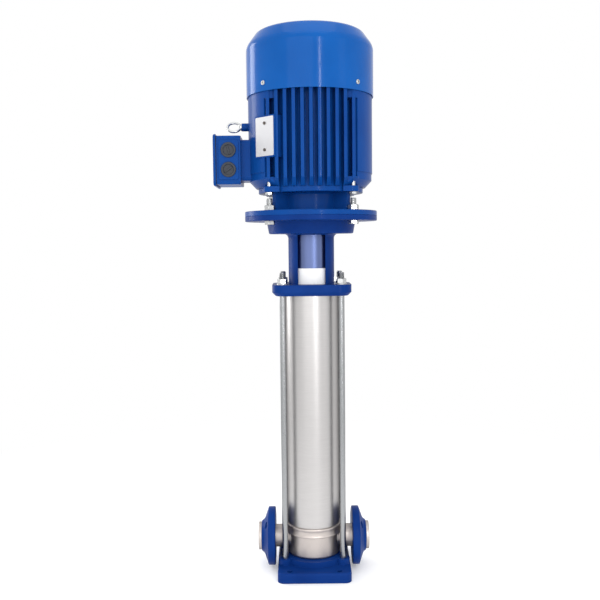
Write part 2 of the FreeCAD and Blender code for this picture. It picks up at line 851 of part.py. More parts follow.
def make_loose_flange(label, side):
    body = new_body(label)
    outer = "collar_back - loose_flange_play"
    inner = "(%s - loose_flange_length)" % outer
    bore = "port_pipe_radius + loose_flange_play"
    turn(body, [outline((side + inner, bore),
                        (side + inner, "loose_flange_radius", "loose_flange_corner"),
                        (side + "(%s + loose_flange_rim)" % inner, "loose_flange_radius",
                         "loose_flange_corner"),
                        (side + "(%s + loose_flange_rim)" % inner,
                         "port_pipe_radius + loose_flange_hub_wall", "loose_flange_hub_corner"),
                        (side + "(%s)" % outer, "port_pipe_radius + loose_flange_nose_wall",
                         "loose_flange_hub_corner"),
                        (side + "(%s)" % outer, bore))],
         axis="H_Axis", rise="port_height")
    start = "-(%s)" % outer if side == "-" else inner
    holes = [circle(y, z, "flange_hole_radius")
             for y, z in four_spots("flange_hole_offset", "flange_hole_offset")]
    cut(body, holes, "loose_flange_length", plane="YZ_Plane", lift=start, rise="port_height")
    keep(label, body)


# Sleeve, its sealing rings and the stay bolts
def make_sleeve():
    body = new_body("outer_sleeve")
    pad(body, [circle("0", "0", "casing_radius"), circle("0", "0", "casing_bore")],
        "sleeve_top - sleeve_bottom", lift="sleeve_bottom")
    keep("outer_sleeve", body)


def make_o_rings():
    rings = []
    for level in ("bell_bottom + o_ring_radius", "sleeve_top + o_ring_radius"):
        rings.append(plain("Torus", "o_ring", {"Radius1": "socket_radius - o_ring_radius",
                                               "Radius2": "o_ring_radius"}, ("0", "0", level)))
    group = document.addObject("Part::Compound", "sleeve_o_rings")
    group.Links = rings
    keep("sleeve_o_rings", group)


def make_stay_bolts():
    rods = new_body("stay_bolts", several=True)
    low = "floor_level - stay_bolt_thread_depth"
    pad(rods, [circle(x, y, "stay_bolt_radius") for x, y in stay_bolt_spots()],
        "head_top + stay_bolt_stand_out - (%s)" % low, lift=low)
    keep("stay_bolts", rods)
    washers = new_body("stay_bolt_washers", several=True)
    shapes = []
    for x, y in stay_bolt_spots():
        shapes += [circle(x, y, "stay_washer_radius"), circle(x, y, "stay_bolt_hole_radius")]
    pad(washers, shapes, "stay_washer_thickness", lift="head_top")
    keep("stay_bolt_washers", washers)
    nuts = new_body("stay_bolt_nuts", several=True)
    shapes = []
    for x, y in stay_bolt_spots():
        shapes += [hexagon(x, y, "stay_nut_flats"), circle(x, y, "stay_bolt_radius")]
    pad(nuts, shapes, "stay_nut_height", lift="head_top + stay_washer_thickness")
    keep("stay_bolt_nuts", nuts)


# Hydraulic stack inside the sleeve
def make_suction_cup():
    body = new_body("suction_cup")
    low = "cup_bottom"
    turn(body, [outline(("0", low), ("cup_radius", low, "cup_corner_radius"), ("cup_radius", "stack_bottom"),
                        ("0", "stack_bottom"))])
    pad(body, [circle("0", "port_height", "port_pipe_radius")], "casing_bore",
        plane="YZ_Plane", lift="-casing_bore")
    turn(body, [rectangle("casing_bore - 2 * joint_clearance", "0", "casing_bore + port_pipe_radius",
                          "stack_bottom")], kind="Groove")
    turn(body, [outline(("foot_post_radius", low + " + cup_floor"),
                        ("cup_radius - chamber_wall", low + " + cup_floor",
                         "cup_corner_radius - chamber_wall"),
                        ("cup_radius - chamber_wall", "stack_bottom + cut_over"),
                        ("0", "stack_bottom + cut_over"), ("0", "post_top"),
                        ("foot_post_radius", "post_top"))], kind="Groove")
    cut(body, [circle("0", "port_height", "port_bore_radius + cup_mouth_step")], "casing_bore",
        plane="YZ_Plane", lift="-(casing_bore + cut_over)")
    cut(body, [circle("0", "0", "foot_bearing_radius")], "foot_bearing_length + shaft_end_gap",
        lift="foot_bearing_low")
    keep("suction_cup", body)


def make_foot_bearing():
    body = new_body("foot_bearing")
    pad(body, [circle("0", "0", "foot_bearing_radius"),
               circle("0", "0", "pump_shaft_radius + bearing_running_gap")],
        "foot_bearing_length", lift="foot_bearing_low")
    keep("foot_bearing", body)


def vane(inner, outer):
    """Backward-curved vane: a band of constant thickness on one arc."""
    def draw(sketch):
        centre = FreeCAD.Vector(value("vane_arc_offset"), 0, 0)
        limits = []
        for radius in (inner, outer):
            limit = Part.Circle(FreeCAD.Vector(), FreeCAD.Vector(0, 0, 1), value(radius))
            guide = sketch.addGeometry(limit, True)
            sketch.addConstraint(Sketcher.Constraint("Coincident", guide, 3, -1, 1))
            tie(sketch, Sketcher.Constraint("Radius", guide, value(radius)), radius)
            limits.append(guide)
        arcs = []
        tips = []
        for side in ("-", "+"):
            text = "vane_arc_radius %s vane_thickness / 2" % side
            bend = value(text)
            angles = []
            for radius in (value(outer), value(inner)):
                cosine = (radius ** 2 - centre.x ** 2 - bend ** 2) / (2 * centre.x * bend)
                angles.append(math.acos(cosine))
            full = Part.Circle(centre, FreeCAD.Vector(0, 0, 1), bend)
            arc = sketch.addGeometry(Part.ArcOfCircle(full, angles[0], angles[1]), False)
            place_point(sketch, arc, 3, "vane_arc_offset", "0")
            tie(sketch, Sketcher.Constraint("Radius", arc, bend), text)
            sketch.addConstraint(Sketcher.Constraint("PointOnObject", arc, 1, limits[1]))
            sketch.addConstraint(Sketcher.Constraint("PointOnObject", arc, 2, limits[0]))
            ray = [FreeCAD.Vector(math.cos(angle), math.sin(angle), 0) for angle in angles]
            tips.append([centre + ray[0] * bend, centre + ray[1] * bend])
            arcs.append(arc)
        for end in (0, 1):
            side = sketch.addGeometry(Part.LineSegment(tips[0][end], tips[1][end]), False)
            sketch.addConstraint(Sketcher.Constraint("Coincident", side, 1, arcs[0], end + 1))
            sketch.addConstraint(Sketcher.Constraint("Coincident", side, 2, arcs[1], end + 1))
    return draw


def stage_places(lift="0"):
    return [("0", "0", "stack_bottom + %d * stage_height + (%s)" % (stage, lift))
            for stage in range(whole("stage_count"))]


def make_impellers():
    body = new_body("impeller_master")
    turn(body, [outline(("eye_radius", "0"), ("eye_outer", "0"), ("eye_outer", "shroud_low"),
                        ("impeller_radius", "shroud_low"), ("impeller_radius", "vane_low"),
                        ("eye_radius", "vane_low"))])
    blade = pad(body, [vane("eye_radius + vane_root_inset", "impeller_radius - vane_tip_inset")],
                "vane_height + shroud_thickness", lift="vane_low - shroud_thickness / 2")
    repeat_round(body, [blade], "vane_count")
    turn(body, [outline(("pump_shaft_radius", "shroud_low"), ("impeller_hub_radius", "shroud_low"),
                        ("impeller_hub_radius", "shroud_high", "impeller_hub_fillet"),
                        ("impeller_radius", "shroud_high"),
                        ("impeller_radius", "impeller_top"), ("impeller_hub_radius", "impeller_top"),
                        ("impeller_hub_radius", "hub_end"), ("pump_shaft_radius", "hub_end"))])
    copies("impellers", body, stage_places())


def make_impeller_spacers():
    body = new_body("spacer_master")
    pad(body, [circle("0", "0", "spacer_radius"), circle("0", "0", "pump_shaft_radius")],
        "stage_height - impeller_hub_height")
    copies("impeller_spacers", body, stage_places("hub_end"))


def make_stage_chambers():
    body = new_body("chamber_master")
    turn(body, [outline(("eye_outer + running_gap", "0"), ("chamber_radius", "0"),
                        ("chamber_radius", "stage_height"), ("cup_radius", "stage_height"),
                        ("cup_radius", "chamber_wall"), ("eye_outer + running_gap", "chamber_wall"))])
    blade = pad(body, [rectangle("spacer_radius + guide_vane_gap", "-vane_thickness / 2",
                                 "cup_radius + chamber_wall / 2", "vane_thickness / 2")],
                "stage_height - guide_low - running_gap", lift="guide_low")
    repeat_round(body, [blade], "guide_vane_count")
    turn(body, [rectangle("spacer_radius + guide_hub_gap", "guide_low", "guide_disc_radius",
                          "guide_low + shroud_thickness")])
    copies("stage_chambers", body, stage_places())


def make_stack_retainer():
    body = new_body("stack_retainer")
    pad(body, [circle("0", "0", "chamber_radius"), circle("0", "0", "cup_radius - chamber_wall")],
        "head_bottom - stack_top", lift="stack_top")
    slot = cut(body, [sector("cup_radius - 2 * chamber_wall", "chamber_radius + cut_over",
                             "-retainer_slot_angle / 2", "retainer_slot_angle / 2")],
               "retainer_slot_height", lift="stack_top + retainer_slot_rise")
    repeat_round(body, [slot], "guide_vane_count")
    keep("stack_retainer", body)


def make_pump_shaft():
    body = new_body("pump_shaft")
    pad(body, [circle("0", "0", "pump_shaft_radius")], "pump_shaft_top - pump_shaft_bottom",
        lift="pump_shaft_bottom")
    dress(body, "Chamfer", "shaft_chamfer", lambda edge: edge.Curve.TypeId == "Part::GeomCircle")
    keep("pump_shaft", body)


# Pump head, vent and shaft seal
def make_pump_head():
    body = new_body("pump_head")
    half_x, half_y = "head_half_length", "head_half_width"
    pad(body, [rectangle("-" + half_x, "-" + half_y, half_x, half_y, "head_corner_radius")],
        "head_thickness", lift="head_bottom")
    dress(body, "Chamfer", "head_chamfer", at_level("head_bottom", "0"))
    turn(body, [outline(("0", "head_top - stool_root"), ("stool_radius", "head_top - stool_root"),
                        ("stool_radius", "hub_bottom", "hub_fillet"),
                        ("hub_radius - hub_taper", "hub_bottom", "hub_edge_radius"),
                        ("hub_radius", "hub_top"),
                        ("motor_flange_radius", "hub_top", "motor_flange_corner"),
                        ("motor_flange_radius", "motor_face", "motor_flange_edge"), ("0", "motor_face"))])
    turn(body, [outline(("0", "head_top"), ("stool_bore", "head_top"),
                        ("stool_bore", "hub_bottom + hub_floor"),
                        ("hub_hollow_radius", "hub_bottom + hub_floor + hub_floor_rise",
                         "hub_floor_fillet"),
                        ("hub_hollow_radius", "motor_face - pilot_depth - pilot_gap"),
                        ("pilot_radius + joint_clearance", "motor_face - pilot_depth - pilot_gap"),
                        ("pilot_radius + joint_clearance", "motor_face + cut_over"),
                        ("0", "motor_face + cut_over"))],
         kind="Groove")
    cut(body, [rectangle("-window_width / 2", "head_top", "window_width / 2", "head_top + window_height")],
        "2 * (stool_radius + hub_fillet)", plane="XZ_Plane", lift="-(stool_radius + hub_fillet)")
    cut(body, [circle("0", "0", "head_bore_radius")], "head_thickness + 2 * cut_over",
        lift="head_bottom - cut_over")
    cut(body, [circle("0", "0", "socket_radius"), circle("0", "0", "ring_inner_radius")],
        "head_groove_depth", lift="head_bottom")
    cut(body, [circle(x, y, "stay_bolt_hole_radius") for x, y in stay_bolt_spots()],
        "head_thickness + 2 * cut_over", lift="head_bottom - cut_over")
    cut(body, [circle(x, y, "flange_bolt_hole_radius")
               for x, y in four_spots("flange_bolt_offset", "flange_bolt_offset")],
        "stool_flange_thickness + 2 * cut_over", lift="hub_top - cut_over")
    cut(body, [circle("-vent_offset", "0", "vent_thread_radius")], "vent_thread_depth + cut_over",
        lift="head_top - vent_thread_depth")
    cut(body, [circle(x, y, "seal_screw_radius")
               for x, y in four_spots("seal_screw_offset", "seal_screw_offset")],
        "seal_screw_depth + cut_over", lift="head_top - seal_screw_depth")
    keep("pump_head", body)


def make_vent_plug():
    body = new_body("vent_plug")
    pad(body, [circle("-vent_offset", "0", "vent_thread_radius")], "vent_thread_depth",
        lift="head_top - vent_thread_depth")
    pad(body, [hexagon("-vent_offset", "0", "vent_plug_flats")], "vent_plug_head", lift="head_top")
    pad(body, [circle("-vent_offset", "0", "vent_stem_radius")], "vent_stem_height",
        lift="head_top + vent_plug_head")
    keep("vent_plug", body)


def make_shaft_seal():
    cover = new_body("seal_cover")
    turn(cover, [outline(("seal_seat_bore + seal_cover_gap", "head_top + seal_cover_thickness"),
                         ("seal_cover_radius", "head_top + seal_cover_thickness", "seal_edge_radius"),
                         ("seal_cover_radius", "head_top"),
                         ("head_bore_radius - joint_clearance", "head_top"),
                         ("head_bore_radius - joint_clearance", "seal_seat_low + seal_lip"),
                         ("seal_seat_radius", "seal_seat_low + seal_lip"),
                         ("seal_seat_radius", "head_top"),
                         ("seal_seat_bore + seal_cover_gap", "head_top"))])
    cut(cover, [circle(x, y, "seal_screw_radius")
                for x, y in four_spots("seal_screw_offset", "seal_screw_offset")],
        "seal_cover_thickness + 2 * cut_over", lift="head_top - cut_over")
    keep("seal_cover", cover)
    seat = new_body("seal_seat")
    pad(seat, [circle("0", "0", "seal_seat_radius"), circle("0", "0", "seal_seat_bore")],
        "seal_seat_height", lift="seal_seat_low")
    keep("seal_seat", seat)
    ring = new_body("seal_rotor")
    low = "seal_rotor_top - seal_rotor_height"
    turn(ring, [outline(("pump_shaft_radius", low), ("seal_seat_radius + seal_lip", low, "seal_edge_radius"),
                        ("seal_seat_radius + seal_lip", low + " + seal_collar"),
                        ("seal_seat_radius", low + " + seal_collar"),
                        ("seal_seat_radius", "seal_rotor_top - seal_nose"),
                        ("seal_seat_radius - seal_lip", "seal_rotor_top - seal_nose"),
                        ("seal_seat_radius - seal_lip", "seal_rotor_top"),
                        ("pump_shaft_radius", "seal_rotor_top"))])
    keep("seal_rotor", ring)
    screws = new_body("seal_cover_screws", several=True)
    spots = four_spots("seal_screw_offset", "seal_screw_offset")
    pad(screws, [circle(x, y, "seal_screw_radius") for x, y in spots],
        "seal_screw_depth + seal_cover_thickness", lift="head_top - seal_screw_depth")
    pad(screws, [circle(x, y, "seal_screw_head_radius") for x, y in spots], "seal_screw_head",
        lift="head_top + seal_cover_thickness")
    keep("seal_cover_screws", screws)


# Coupling, its guards and the bare label
def coupling_screw_spots():
    low = "(coupling_bottom + coupling_pump_grip / 2)"
    high = "(coupling_top - coupling_motor_grip / 2)"
    return [(sign + "coupling_screw_offset", level) for sign in ("", "-") for level in (low, high)]


def make_coupling_half(label, side, head_lift):
    """Half shell on one side of the split plane, bored for both shafts."""
    body = new_body(label)
    pad(body, [circle("0", "0", "coupling_radius"), circle("0", "0", "pump_shaft_radius")],
        "coupling_top - coupling_bottom", lift="coupling_bottom")
    reach = "(coupling_radius + cut_over)"
    other = "" if side == "-" else "-"
    cut(body, [rectangle("-" + reach, side + "coupling_split / 2", reach, other + reach)],
        "coupling_top - coupling_bottom", lift="coupling_bottom")
    cut(body, [circle("0", "0", "motor_shaft_radius")], "coupling_motor_grip + shaft_gap + cut_over",
        lift="motor_shaft_bottom - shaft_gap")
    cut(body, [circle(x, z, "coupling_screw_radius") for x, z in coupling_screw_spots()],
        "2 * coupling_radius", plane="XZ_Plane", lift="-coupling_radius")
    cut(body, [circle(x, z, "coupling_pocket_radius") for x, z in coupling_screw_spots()],
        "coupling_radius", plane="XZ_Plane", lift=head_lift)
    keep(label, body)


def make_coupling():
    make_coupling_half("coupling_half_front", "-", "coupling_seat")
    make_coupling_half("coupling_half_rear", "", "-(coupling_seat + coupling_radius)")
    screws = new_body("coupling_screws", several=True)
    pad(screws, [circle(x, z, "coupling_screw_radius") for x, z in coupling_screw_spots()],
        "2 * coupling_seat", plane="XZ_Plane", lift="-coupling_seat")
    pad(screws, [circle(x, z, "coupling_head_radius") for x, z in coupling_screw_spots()],
        "coupling_head_height", plane="XZ_Plane", lift="coupling_seat")
    pad(screws, [hexagon(x, z, "coupling_nut_flats") for x, z in coupling_screw_spots()],
        "coupling_nut_height", plane="XZ_Plane", lift="-(coupling_seat + coupling_nut_height)")
    keep("coupling_screws", screws)


def make_guard(label, middle):
    body = new_body(label)
    pad(body, [sector("guard_radius - guard_sheet", "guard_radius", "%s - guard_half_angle" % middle,
                      "%s + guard_half_angle" % middle)],
        "window_height - 2 * guard_gap", lift="head_top + seal_cover_thickness + guard_gap")
    keep(label, body)


def make_label_plate():
    body = new_body("label_plate")
    pad(body, [sector("guard_radius", "guard_radius + label_thickness", "front_angle - guard_half_angle",
                      "front_angle + guard_half_angle")], "label_height", lift="head_top + guard_gap")
    for side in ("", "-"):
        cut(body, [rectangle(side + "(window_width / 2 - guard_gap)", "-stool_radius",
                             side + "stool_radius", "0")], "label_height", lift="head_top + guard_gap")
    keep("label_plate", body)


# Motor shields, bearings and frame
def lug_spots():
    return four_spots("lug_offset", "lug_offset")


def lug_blocks():
    """Square lugs at the four corners, each with its outermost corner rounded."""
    near, far = "(lug_offset - lug_inward)", "(lug_offset + lug_outward)"
    return [outline((x + near, y + near), (x + far, y + near), (x + far, y + far, "lug_corner_radius"),
                    (x + near, y + far)) for x in ("", "-") for y in ("", "-")]


def make_drive_end_shield():
    body = new_body("drive_end_shield")
    rim = "rim_bottom"
    turn(body, [outline(("0", "motor_face - pilot_depth"), ("pilot_radius", "motor_face - pilot_depth"),
                        ("pilot_radius", "motor_face"),
                        ("motor_flange_radius", "motor_face", "motor_flange_edge"),
                        ("motor_flange_radius", "flange_top", "motor_flange_corner"),
                        ("shield_neck_radius", "flange_top", "shield_neck_fillet"),
                        ("shield_neck_radius + shield_neck_taper", rim, "shield_neck_fillet"),
                        ("shield_rim_radius", rim, "shield_rim_corner"),
                        ("shield_rim_radius", "frame_bottom"),
                        ("frame_bore_radius - joint_clearance", "frame_bottom"),
                        ("frame_bore_radius - joint_clearance", "frame_bottom + shield_spigot"),
                        ("0", "frame_bottom + shield_spigot"))])
    pad(body, lug_blocks(), "shield_rim_height", lift=rim)
    rib = pad(body, [rectangle("shield_neck_radius - shield_rib_sink", "-shield_rib_thickness / 2",
                               "shield_rib_reach", "shield_rib_thickness / 2")],
              "shield_neck_height + shield_rim_height / 2", lift="flange_top")
    rib_sketch = rib.Profile[0]
    turned = FreeCAD.Rotation(FreeCAD.Vector(0, 0, 1), value("shield_rib_angle"))
    rib_sketch.AttachmentOffset = FreeCAD.Placement(FreeCAD.Vector(), turned)
    rib_sketch.setExpression(".AttachmentOffset.Base.z", bind("flange_top"))
    repeat_round(body, [rib], "shield_rib_count")
    turn(body, [outline(("0", "motor_face - pilot_depth - pilot_gap"),
                        ("motor_shaft_radius + shield_shaft_gap", "motor_face - pilot_depth - pilot_gap"),
                        ("motor_shaft_radius + shield_shaft_gap", "lower_bearing_low - shield_lip"),
                        ("bearing_outer_radius - shield_lip_reach", "lower_bearing_low - shield_lip"),
                        ("bearing_outer_radius - shield_lip_reach", "lower_bearing_low"),
                        ("bearing_outer_radius", "lower_bearing_low"),
                        ("bearing_outer_radius", "rim_bottom"),
                        ("bearing_outer_radius + shield_boss_wall", "rim_bottom"),
                        ("frame_bore_radius - shield_dish_margin", "frame_bottom - shield_dish_rise"),
                        ("frame_bore_radius - shield_spigot_wall",
                         "frame_bottom + shield_spigot + cut_over"),
                        ("0", "frame_bottom + shield_spigot + cut_over"))], kind="Groove")
    turn(body, [outline(("bearing_outer_radius + shield_hollow_margin",
                         "motor_face - pilot_depth - pilot_gap"),
                        ("pilot_radius - shield_pilot_wall", "motor_face - pilot_depth - pilot_gap"),
                        ("pilot_radius - shield_pilot_wall", "motor_face + shield_hollow_depth",
                         "shield_hollow_fillet"),
                        ("bearing_outer_radius + shield_hollow_margin", "motor_face + shield_hollow_depth",
                         "shield_hollow_fillet"))], kind="Groove")
    cut(body, [circle(x, y, "flange_bolt_hole_radius")
               for x, y in four_spots("flange_bolt_offset", "flange_bolt_offset")],
        "shield_flange_thickness + 2 * cut_over", lift="motor_face - cut_over")
    cut(body, [circle(x, y, "shield_bolt_radius") for x, y in lug_spots()],
        "shield_rim_height + 2 * cut_over", lift=rim + " - cut_over")
    hole = cut(body, [circle("0", "0", "shield_plug_radius")], "2 * shield_plug_depth", plane="XZ_Plane")
    face_outward(hole, "shield_plug_angle", "shield_neck_radius - shield_plug_depth",
                 "flange_top + shield_plug_rise")
    keep("drive_end_shield", body)


def make_shield_plug():
    """Grease hole's plug, screwed into the neck from the front right."""
    body = new_body("shield_plug")
    start = "shield_neck_radius + shield_neck_taper - shield_plug_depth"
    level = "flange_top + shield_plug_rise"
    stem = pad(body, [circle("0", "0", "shield_plug_radius")], "shield_plug_depth", plane="XZ_Plane")
    face_outward(stem, "shield_plug_angle", start, level)
    head = pad(body, [hexagon("0", "0", "shield_plug_flats")], "shield_plug_head", plane="XZ_Plane")
    face_outward(head, "shield_plug_angle", start + " + shield_plug_depth", level)
    keep("shield_plug", body)


def make_fan_end_shield():
    body = new_body("fan_end_shield")
    turn(body, [outline(("bearing_outer_radius", "frame_top"),
                        ("bearing_outer_radius", "upper_bearing_low + bearing_width"),
                        ("motor_shaft_radius + fan_shield_shaft_gap", "upper_bearing_low + bearing_width"),
                        ("motor_shaft_radius + fan_shield_shaft_gap", "fan_shield_top"),
                        ("bearing_outer_radius + fan_shield_boss_wall", "fan_shield_top",
                         "fan_shield_boss_edge"),
                        ("bearing_outer_radius + fan_shield_boss_foot", "frame_top + fan_shield_disc",
                         "fan_shield_boss_fillet"),
                        ("shield_rim_radius", "frame_top + fan_shield_disc", "fan_shield_corner"),
                        ("shield_rim_radius", "frame_top"),
                        ("frame_bore_radius - joint_clearance", "frame_top"),
                        ("frame_bore_radius - joint_clearance", "frame_top - shield_spigot"),
                        ("frame_bore_radius - shield_spigot_wall", "frame_top - shield_spigot"),
                        ("frame_bore_radius - fan_shield_bevel", "frame_top"))])
    pad(body, lug_blocks(), "fan_shield_disc", lift="frame_top")
    hole = cut(body, [circle("0", "0", "cowl_screw_radius")], "2 * cowl_screw_length", plane="XZ_Plane")
    face_outward(hole, "cowl_screw_angle", "cowl_radius - cowl_screw_length", "cowl_screw_level")
    repeat_round(body, [hole], "cowl_screw_count")
    cut(body, [circle(x, y, "shield_bolt_radius") for x, y in lug_spots()],
        "fan_shield_disc + 2 * cut_over", lift="frame_top - cut_over")
    keep("fan_end_shield", body)


def make_bearing(name, low):
    """Shielded ball bearing: outer ring with both shields, inner ring and balls."""
    outer = new_body(name + "_outer_ring")
    turn(outer, [outline(("bearing_outer_radius", low), ("bearing_outer_radius", low + " + bearing_width"),
                         ("shield_land", low + " + bearing_width"),
                         ("shield_land", low + " + bearing_width - bearing_shield"),
                         ("outer_race", low + " + bearing_width - bearing_shield"),
                         ("outer_race", low + " + bearing_shield"),
                         ("shield_land", low + " + bearing_shield"), ("shield_land", low))])
    keep(name + "_outer_ring", outer)
    inner = new_body(name + "_inner_ring")
    turn(inner, [rectangle("bearing_inner_radius", low, "inner_race", low + " + bearing_width",
                           "bearing_edge_radius")])
    keep(name + "_inner_ring", inner)
    ball = plain("Sphere", name + "_ball", {"Radius": "ball_radius"})
    places = []
    for step in range(whole("ball_count")):
        angle = "(%d * 360 / ball_count)" % step
        places.append(("ball_circle * cos(%s)" % angle, "ball_circle * sin(%s)" % angle,
                       low + " + bearing_width / 2"))
    copies(name + "_balls", ball, places)


def fin_outlines(side, count, across):
    """Tapered cooling fins with their tips on one circle."""
    shapes = []
    for step in range(-count, count + 1):
        middle = "(%d * fin_pitch)" % step
        tip = "%ssqrt(fin_radius ^ 2 - %s ^ 2)" % (side, middle)
        root = "%ssqrt((barrel_radius - fin_sink) ^ 2 - %s ^ 2)" % (side, middle)
        corners = [(middle + " - fin_root / 2", root), (middle + " + fin_root / 2", root),
                   (middle + " + fin_tip / 2", tip), (middle + " - fin_tip / 2", tip)]
        if across:
            corners = [(corner[1], corner[0]) for corner in corners]
        shapes.append(outline(*corners))
    return shapes


def make_motor_frame():
    body = new_body("motor_frame")
    pad(body, [circle("0", "0", "barrel_radius")], "frame_length", lift="frame_bottom")
    for side in ("", "-"):
        pad(body, fin_outlines(side, whole("front_fins"), False), "frame_length", lift="frame_bottom")
        pad(body, fin_outlines(side, whole("side_fins"), True), "frame_length - panel_foot_height",
            lift="frame_bottom + panel_foot_height")
    for middle in ("right_angle", "left_angle"):
        start, end = middle + " - panel_half_angle", middle + " + panel_half_angle"
        pad(body, [sector("fin_radius - panel_thickness", "fin_radius", start, end)],
            "frame_length - panel_foot_height", lift="frame_bottom + panel_foot_height")
        pad(body, [sector("barrel_radius - fin_sink", "fin_radius - panel_foot_step", start, end)],
            "panel_foot_height", lift="frame_bottom")
    pad(body, lug_blocks(), "lower_lug_height", lift="frame_bottom")
    pad(body, lug_blocks(), "upper_lug_height", lift="frame_top - upper_lug_height")
    turn(body, [outline(("fin_radius - panel_chamfer_width", "frame_bottom - cut_over"),
                        ("fin_radius + fin_height", "frame_bottom - cut_over"),
                        ("fin_radius + fin_height", "frame_top + cut_over"),
                        ("fin_radius", "frame_top + cut_over"),
                        ("fin_radius", "frame_bottom + panel_chamfer_height"))], kind="Groove")
    neck = "neck_half_width"
    pad(body, [rectangle("-" + neck, "neck_bottom", neck, "neck_top", "box_corner_radius")],
        "box_seat_reach - barrel_radius + fin_height", plane="YZ_Plane", lift="-box_seat_reach")
    pad(body, [circle("0", "eye_level", "eye_boss_radius")], "eye_boss_reach - barrel_radius + barrel_wall",
        plane="YZ_Plane", lift="-eye_boss_reach")
    seat = pad(body, [rectangle("-name_pad_width / 2", "0", "name_pad_width / 2", "name_pad_height",
                                "name_pad_corner")],
               "name_pad_reach - barrel_radius + fin_sink", plane="XZ_Plane")
    face_outward(seat, "name_pad_angle", "barrel_radius - fin_sink", "name_pad_bottom")
    cut(body, [circle("0", "0", "frame_bore_radius")], "frame_length + 2 * cut_over",
        lift="frame_bottom - cut_over")
    inner = "(neck_half_width - neck_wall)"
    cut(body, [rectangle("-" + inner, "neck_bottom + neck_wall", inner, "neck_top - neck_wall")],
        "box_seat_reach", plane="YZ_Plane", lift="-(box_seat_reach + cut_over)")
    cut(body, [circle("0", "eye_level", "eye_thread_radius")], "eye_thread_depth + 2 * cut_over",
        plane="YZ_Plane", lift="-(eye_boss_reach + cut_over)")
    for level in ("frame_bottom - cut_over", "frame_top - shield_bolt_depth"):
        cut(body, [circle(x, y, "shield_bolt_radius") for x, y in lug_spots()],
            "shield_bolt_depth + cut_over", lift=level)
    rivets = cut(body, [circle("0", z, "rivet_radius") for z in rivet_rises()], "2 * rivet_depth",
                 plane="XZ_Plane")
    face_outward(rivets, "name_pad_angle", "name_pad_reach - rivet_depth", "name_level")
    keep("motor_frame", body)


# Stator, rotor and motor shaft
def make_stator():
    core = new_body("stator_core")
    pad(core, [circle("0", "0", "stator_radius"), circle("0", "0", "stator_bore_radius")],
        "core_length", lift="core_low")
    keep("stator_core", core)
    rings = new_body("stator_windings", several=True)
    for low in ("core_low - winding_height", "core_high"):
        turn(rings, [rectangle("winding_inner_radius", low, "winding_outer_radius",
                               low + " + winding_height", "winding_corner")])
    keep("stator_windings", rings)


def make_rotor():
    core = new_body("rotor_core")
    pad(core, [circle("0", "0", "rotor_radius"), circle("0", "0", "rotor_seat_radius")],
        "core_length", lift="core_low")
    keep("rotor_core", core)
    shaft = new_body("motor_shaft")
    turn(shaft, [outline(("0", "motor_shaft_bottom"), ("motor_shaft_radius", "motor_shaft_bottom"),
                         ("motor_shaft_radius", "lower_bearing_low"),
                         ("bearing_inner_radius", "lower_bearing_low"),
                         ("bearing_inner_radius", "lower_bearing_low + bearing_width"),
                         ("rotor_seat_radius", "lower_bearing_low + bearing_width"),
                         ("rotor_seat_radius", "upper_bearing_low"),
                         ("bearing_inner_radius", "upper_bearing_low"),
                         ("bearing_inner_radius", "upper_bearing_low + bearing_width"),
                         ("fan_seat_radius", "upper_bearing_low + bearing_width"),
                         ("fan_seat_radius", "fan_low + fan_height"), ("0", "fan_low + fan_height"))])
    keep("motor_shaft", shaft)


# Cooling fan and cowl
def make_fan():
    body = new_body("cooling_fan")
    turn(body, [outline(("fan_seat_radius", "fan_low"),
                        ("fan_radius - fan_disc_margin", "fan_low", "fan_disc_edge"),
                        ("fan_radius - fan_disc_margin", "fan_low + fan_disc"),
                        ("fan_hub_radius", "fan_low + fan_disc"),
                        ("fan_hub_radius", "fan_low + fan_height"),
                        ("fan_seat_radius", "fan_low + fan_height"))])
    blade = pad(body, [rectangle("fan_hub_radius - fan_blade_sink", "-fan_blade_thickness / 2", "fan_radius",
                                 "fan_blade_thickness / 2")], "fan_height", lift="fan_low")
    repeat_round(body, [blade], "fan_blades")
    keep("cooling_fan", body)


def make_fan_cowl():
    """Drawn sheet cowl with a sloping shoulder, open below, and a round mouth for its grille on top."""
    body = new_body("fan_cowl")
    shoulder = "cowl_top - cowl_shoulder_drop"
    mouth = "cowl_radius - cowl_shoulder_reach"
    inner_drop = " - cowl_sheet * (cowl_slope_length - cowl_shoulder_drop) / cowl_shoulder_reach"
    inner_step = " - cowl_sheet * (cowl_slope_length - cowl_shoulder_reach) / cowl_shoulder_drop"
    turn(body, [outline(("grille_seat_radius", "cowl_top - cowl_sheet"),
                        (mouth + inner_step, "cowl_top - cowl_sheet", "cowl_shoulder_radius - cowl_sheet"),
                        ("cowl_inner_radius", shoulder + inner_drop, "cowl_corner_radius - cowl_sheet"),
                        ("cowl_inner_radius", "cowl_bottom"), ("cowl_radius", "cowl_bottom"),
                        ("cowl_radius", shoulder, "cowl_corner_radius"),
                        (mouth, "cowl_top", "cowl_shoulder_radius"),
                        ("grille_seat_radius", "cowl_top"))])
    hole = cut(body, [circle("0", "0", "cowl_screw_radius")], "2 * cowl_screw_length", plane="XZ_Plane")
    face_outward(hole, "cowl_screw_angle", "cowl_radius - cowl_screw_length", "cowl_screw_level")
    repeat_round(body, [hole], "cowl_screw_count")
    keep("fan_cowl", body)


def make_cowl_grille():
    """Flat disc with rings of slots, held under the cowl's mouth."""
    body = new_body("cowl_grille")
    pad(body, [circle("0", "0", "grille_seat_radius + grille_lap")], "cowl_sheet",
        lift="grille_top - cowl_sheet")
    for ring in range(whole("grille_rings")):
        inner = "(grille_inner_radius + %d * grille_ring_pitch)" % ring
        slot = cut(body, [sector(inner, inner + " + grille_ring_width", "grille_rib_angle / 2",
                                 "360 / grille_sectors - grille_rib_angle / 2")],
                   "cowl_sheet + 2 * cut_over", lift="grille_top - cowl_sheet - cut_over")
        repeat_round(body, [slot], "grille_sectors")
    keep("cowl_grille", body)


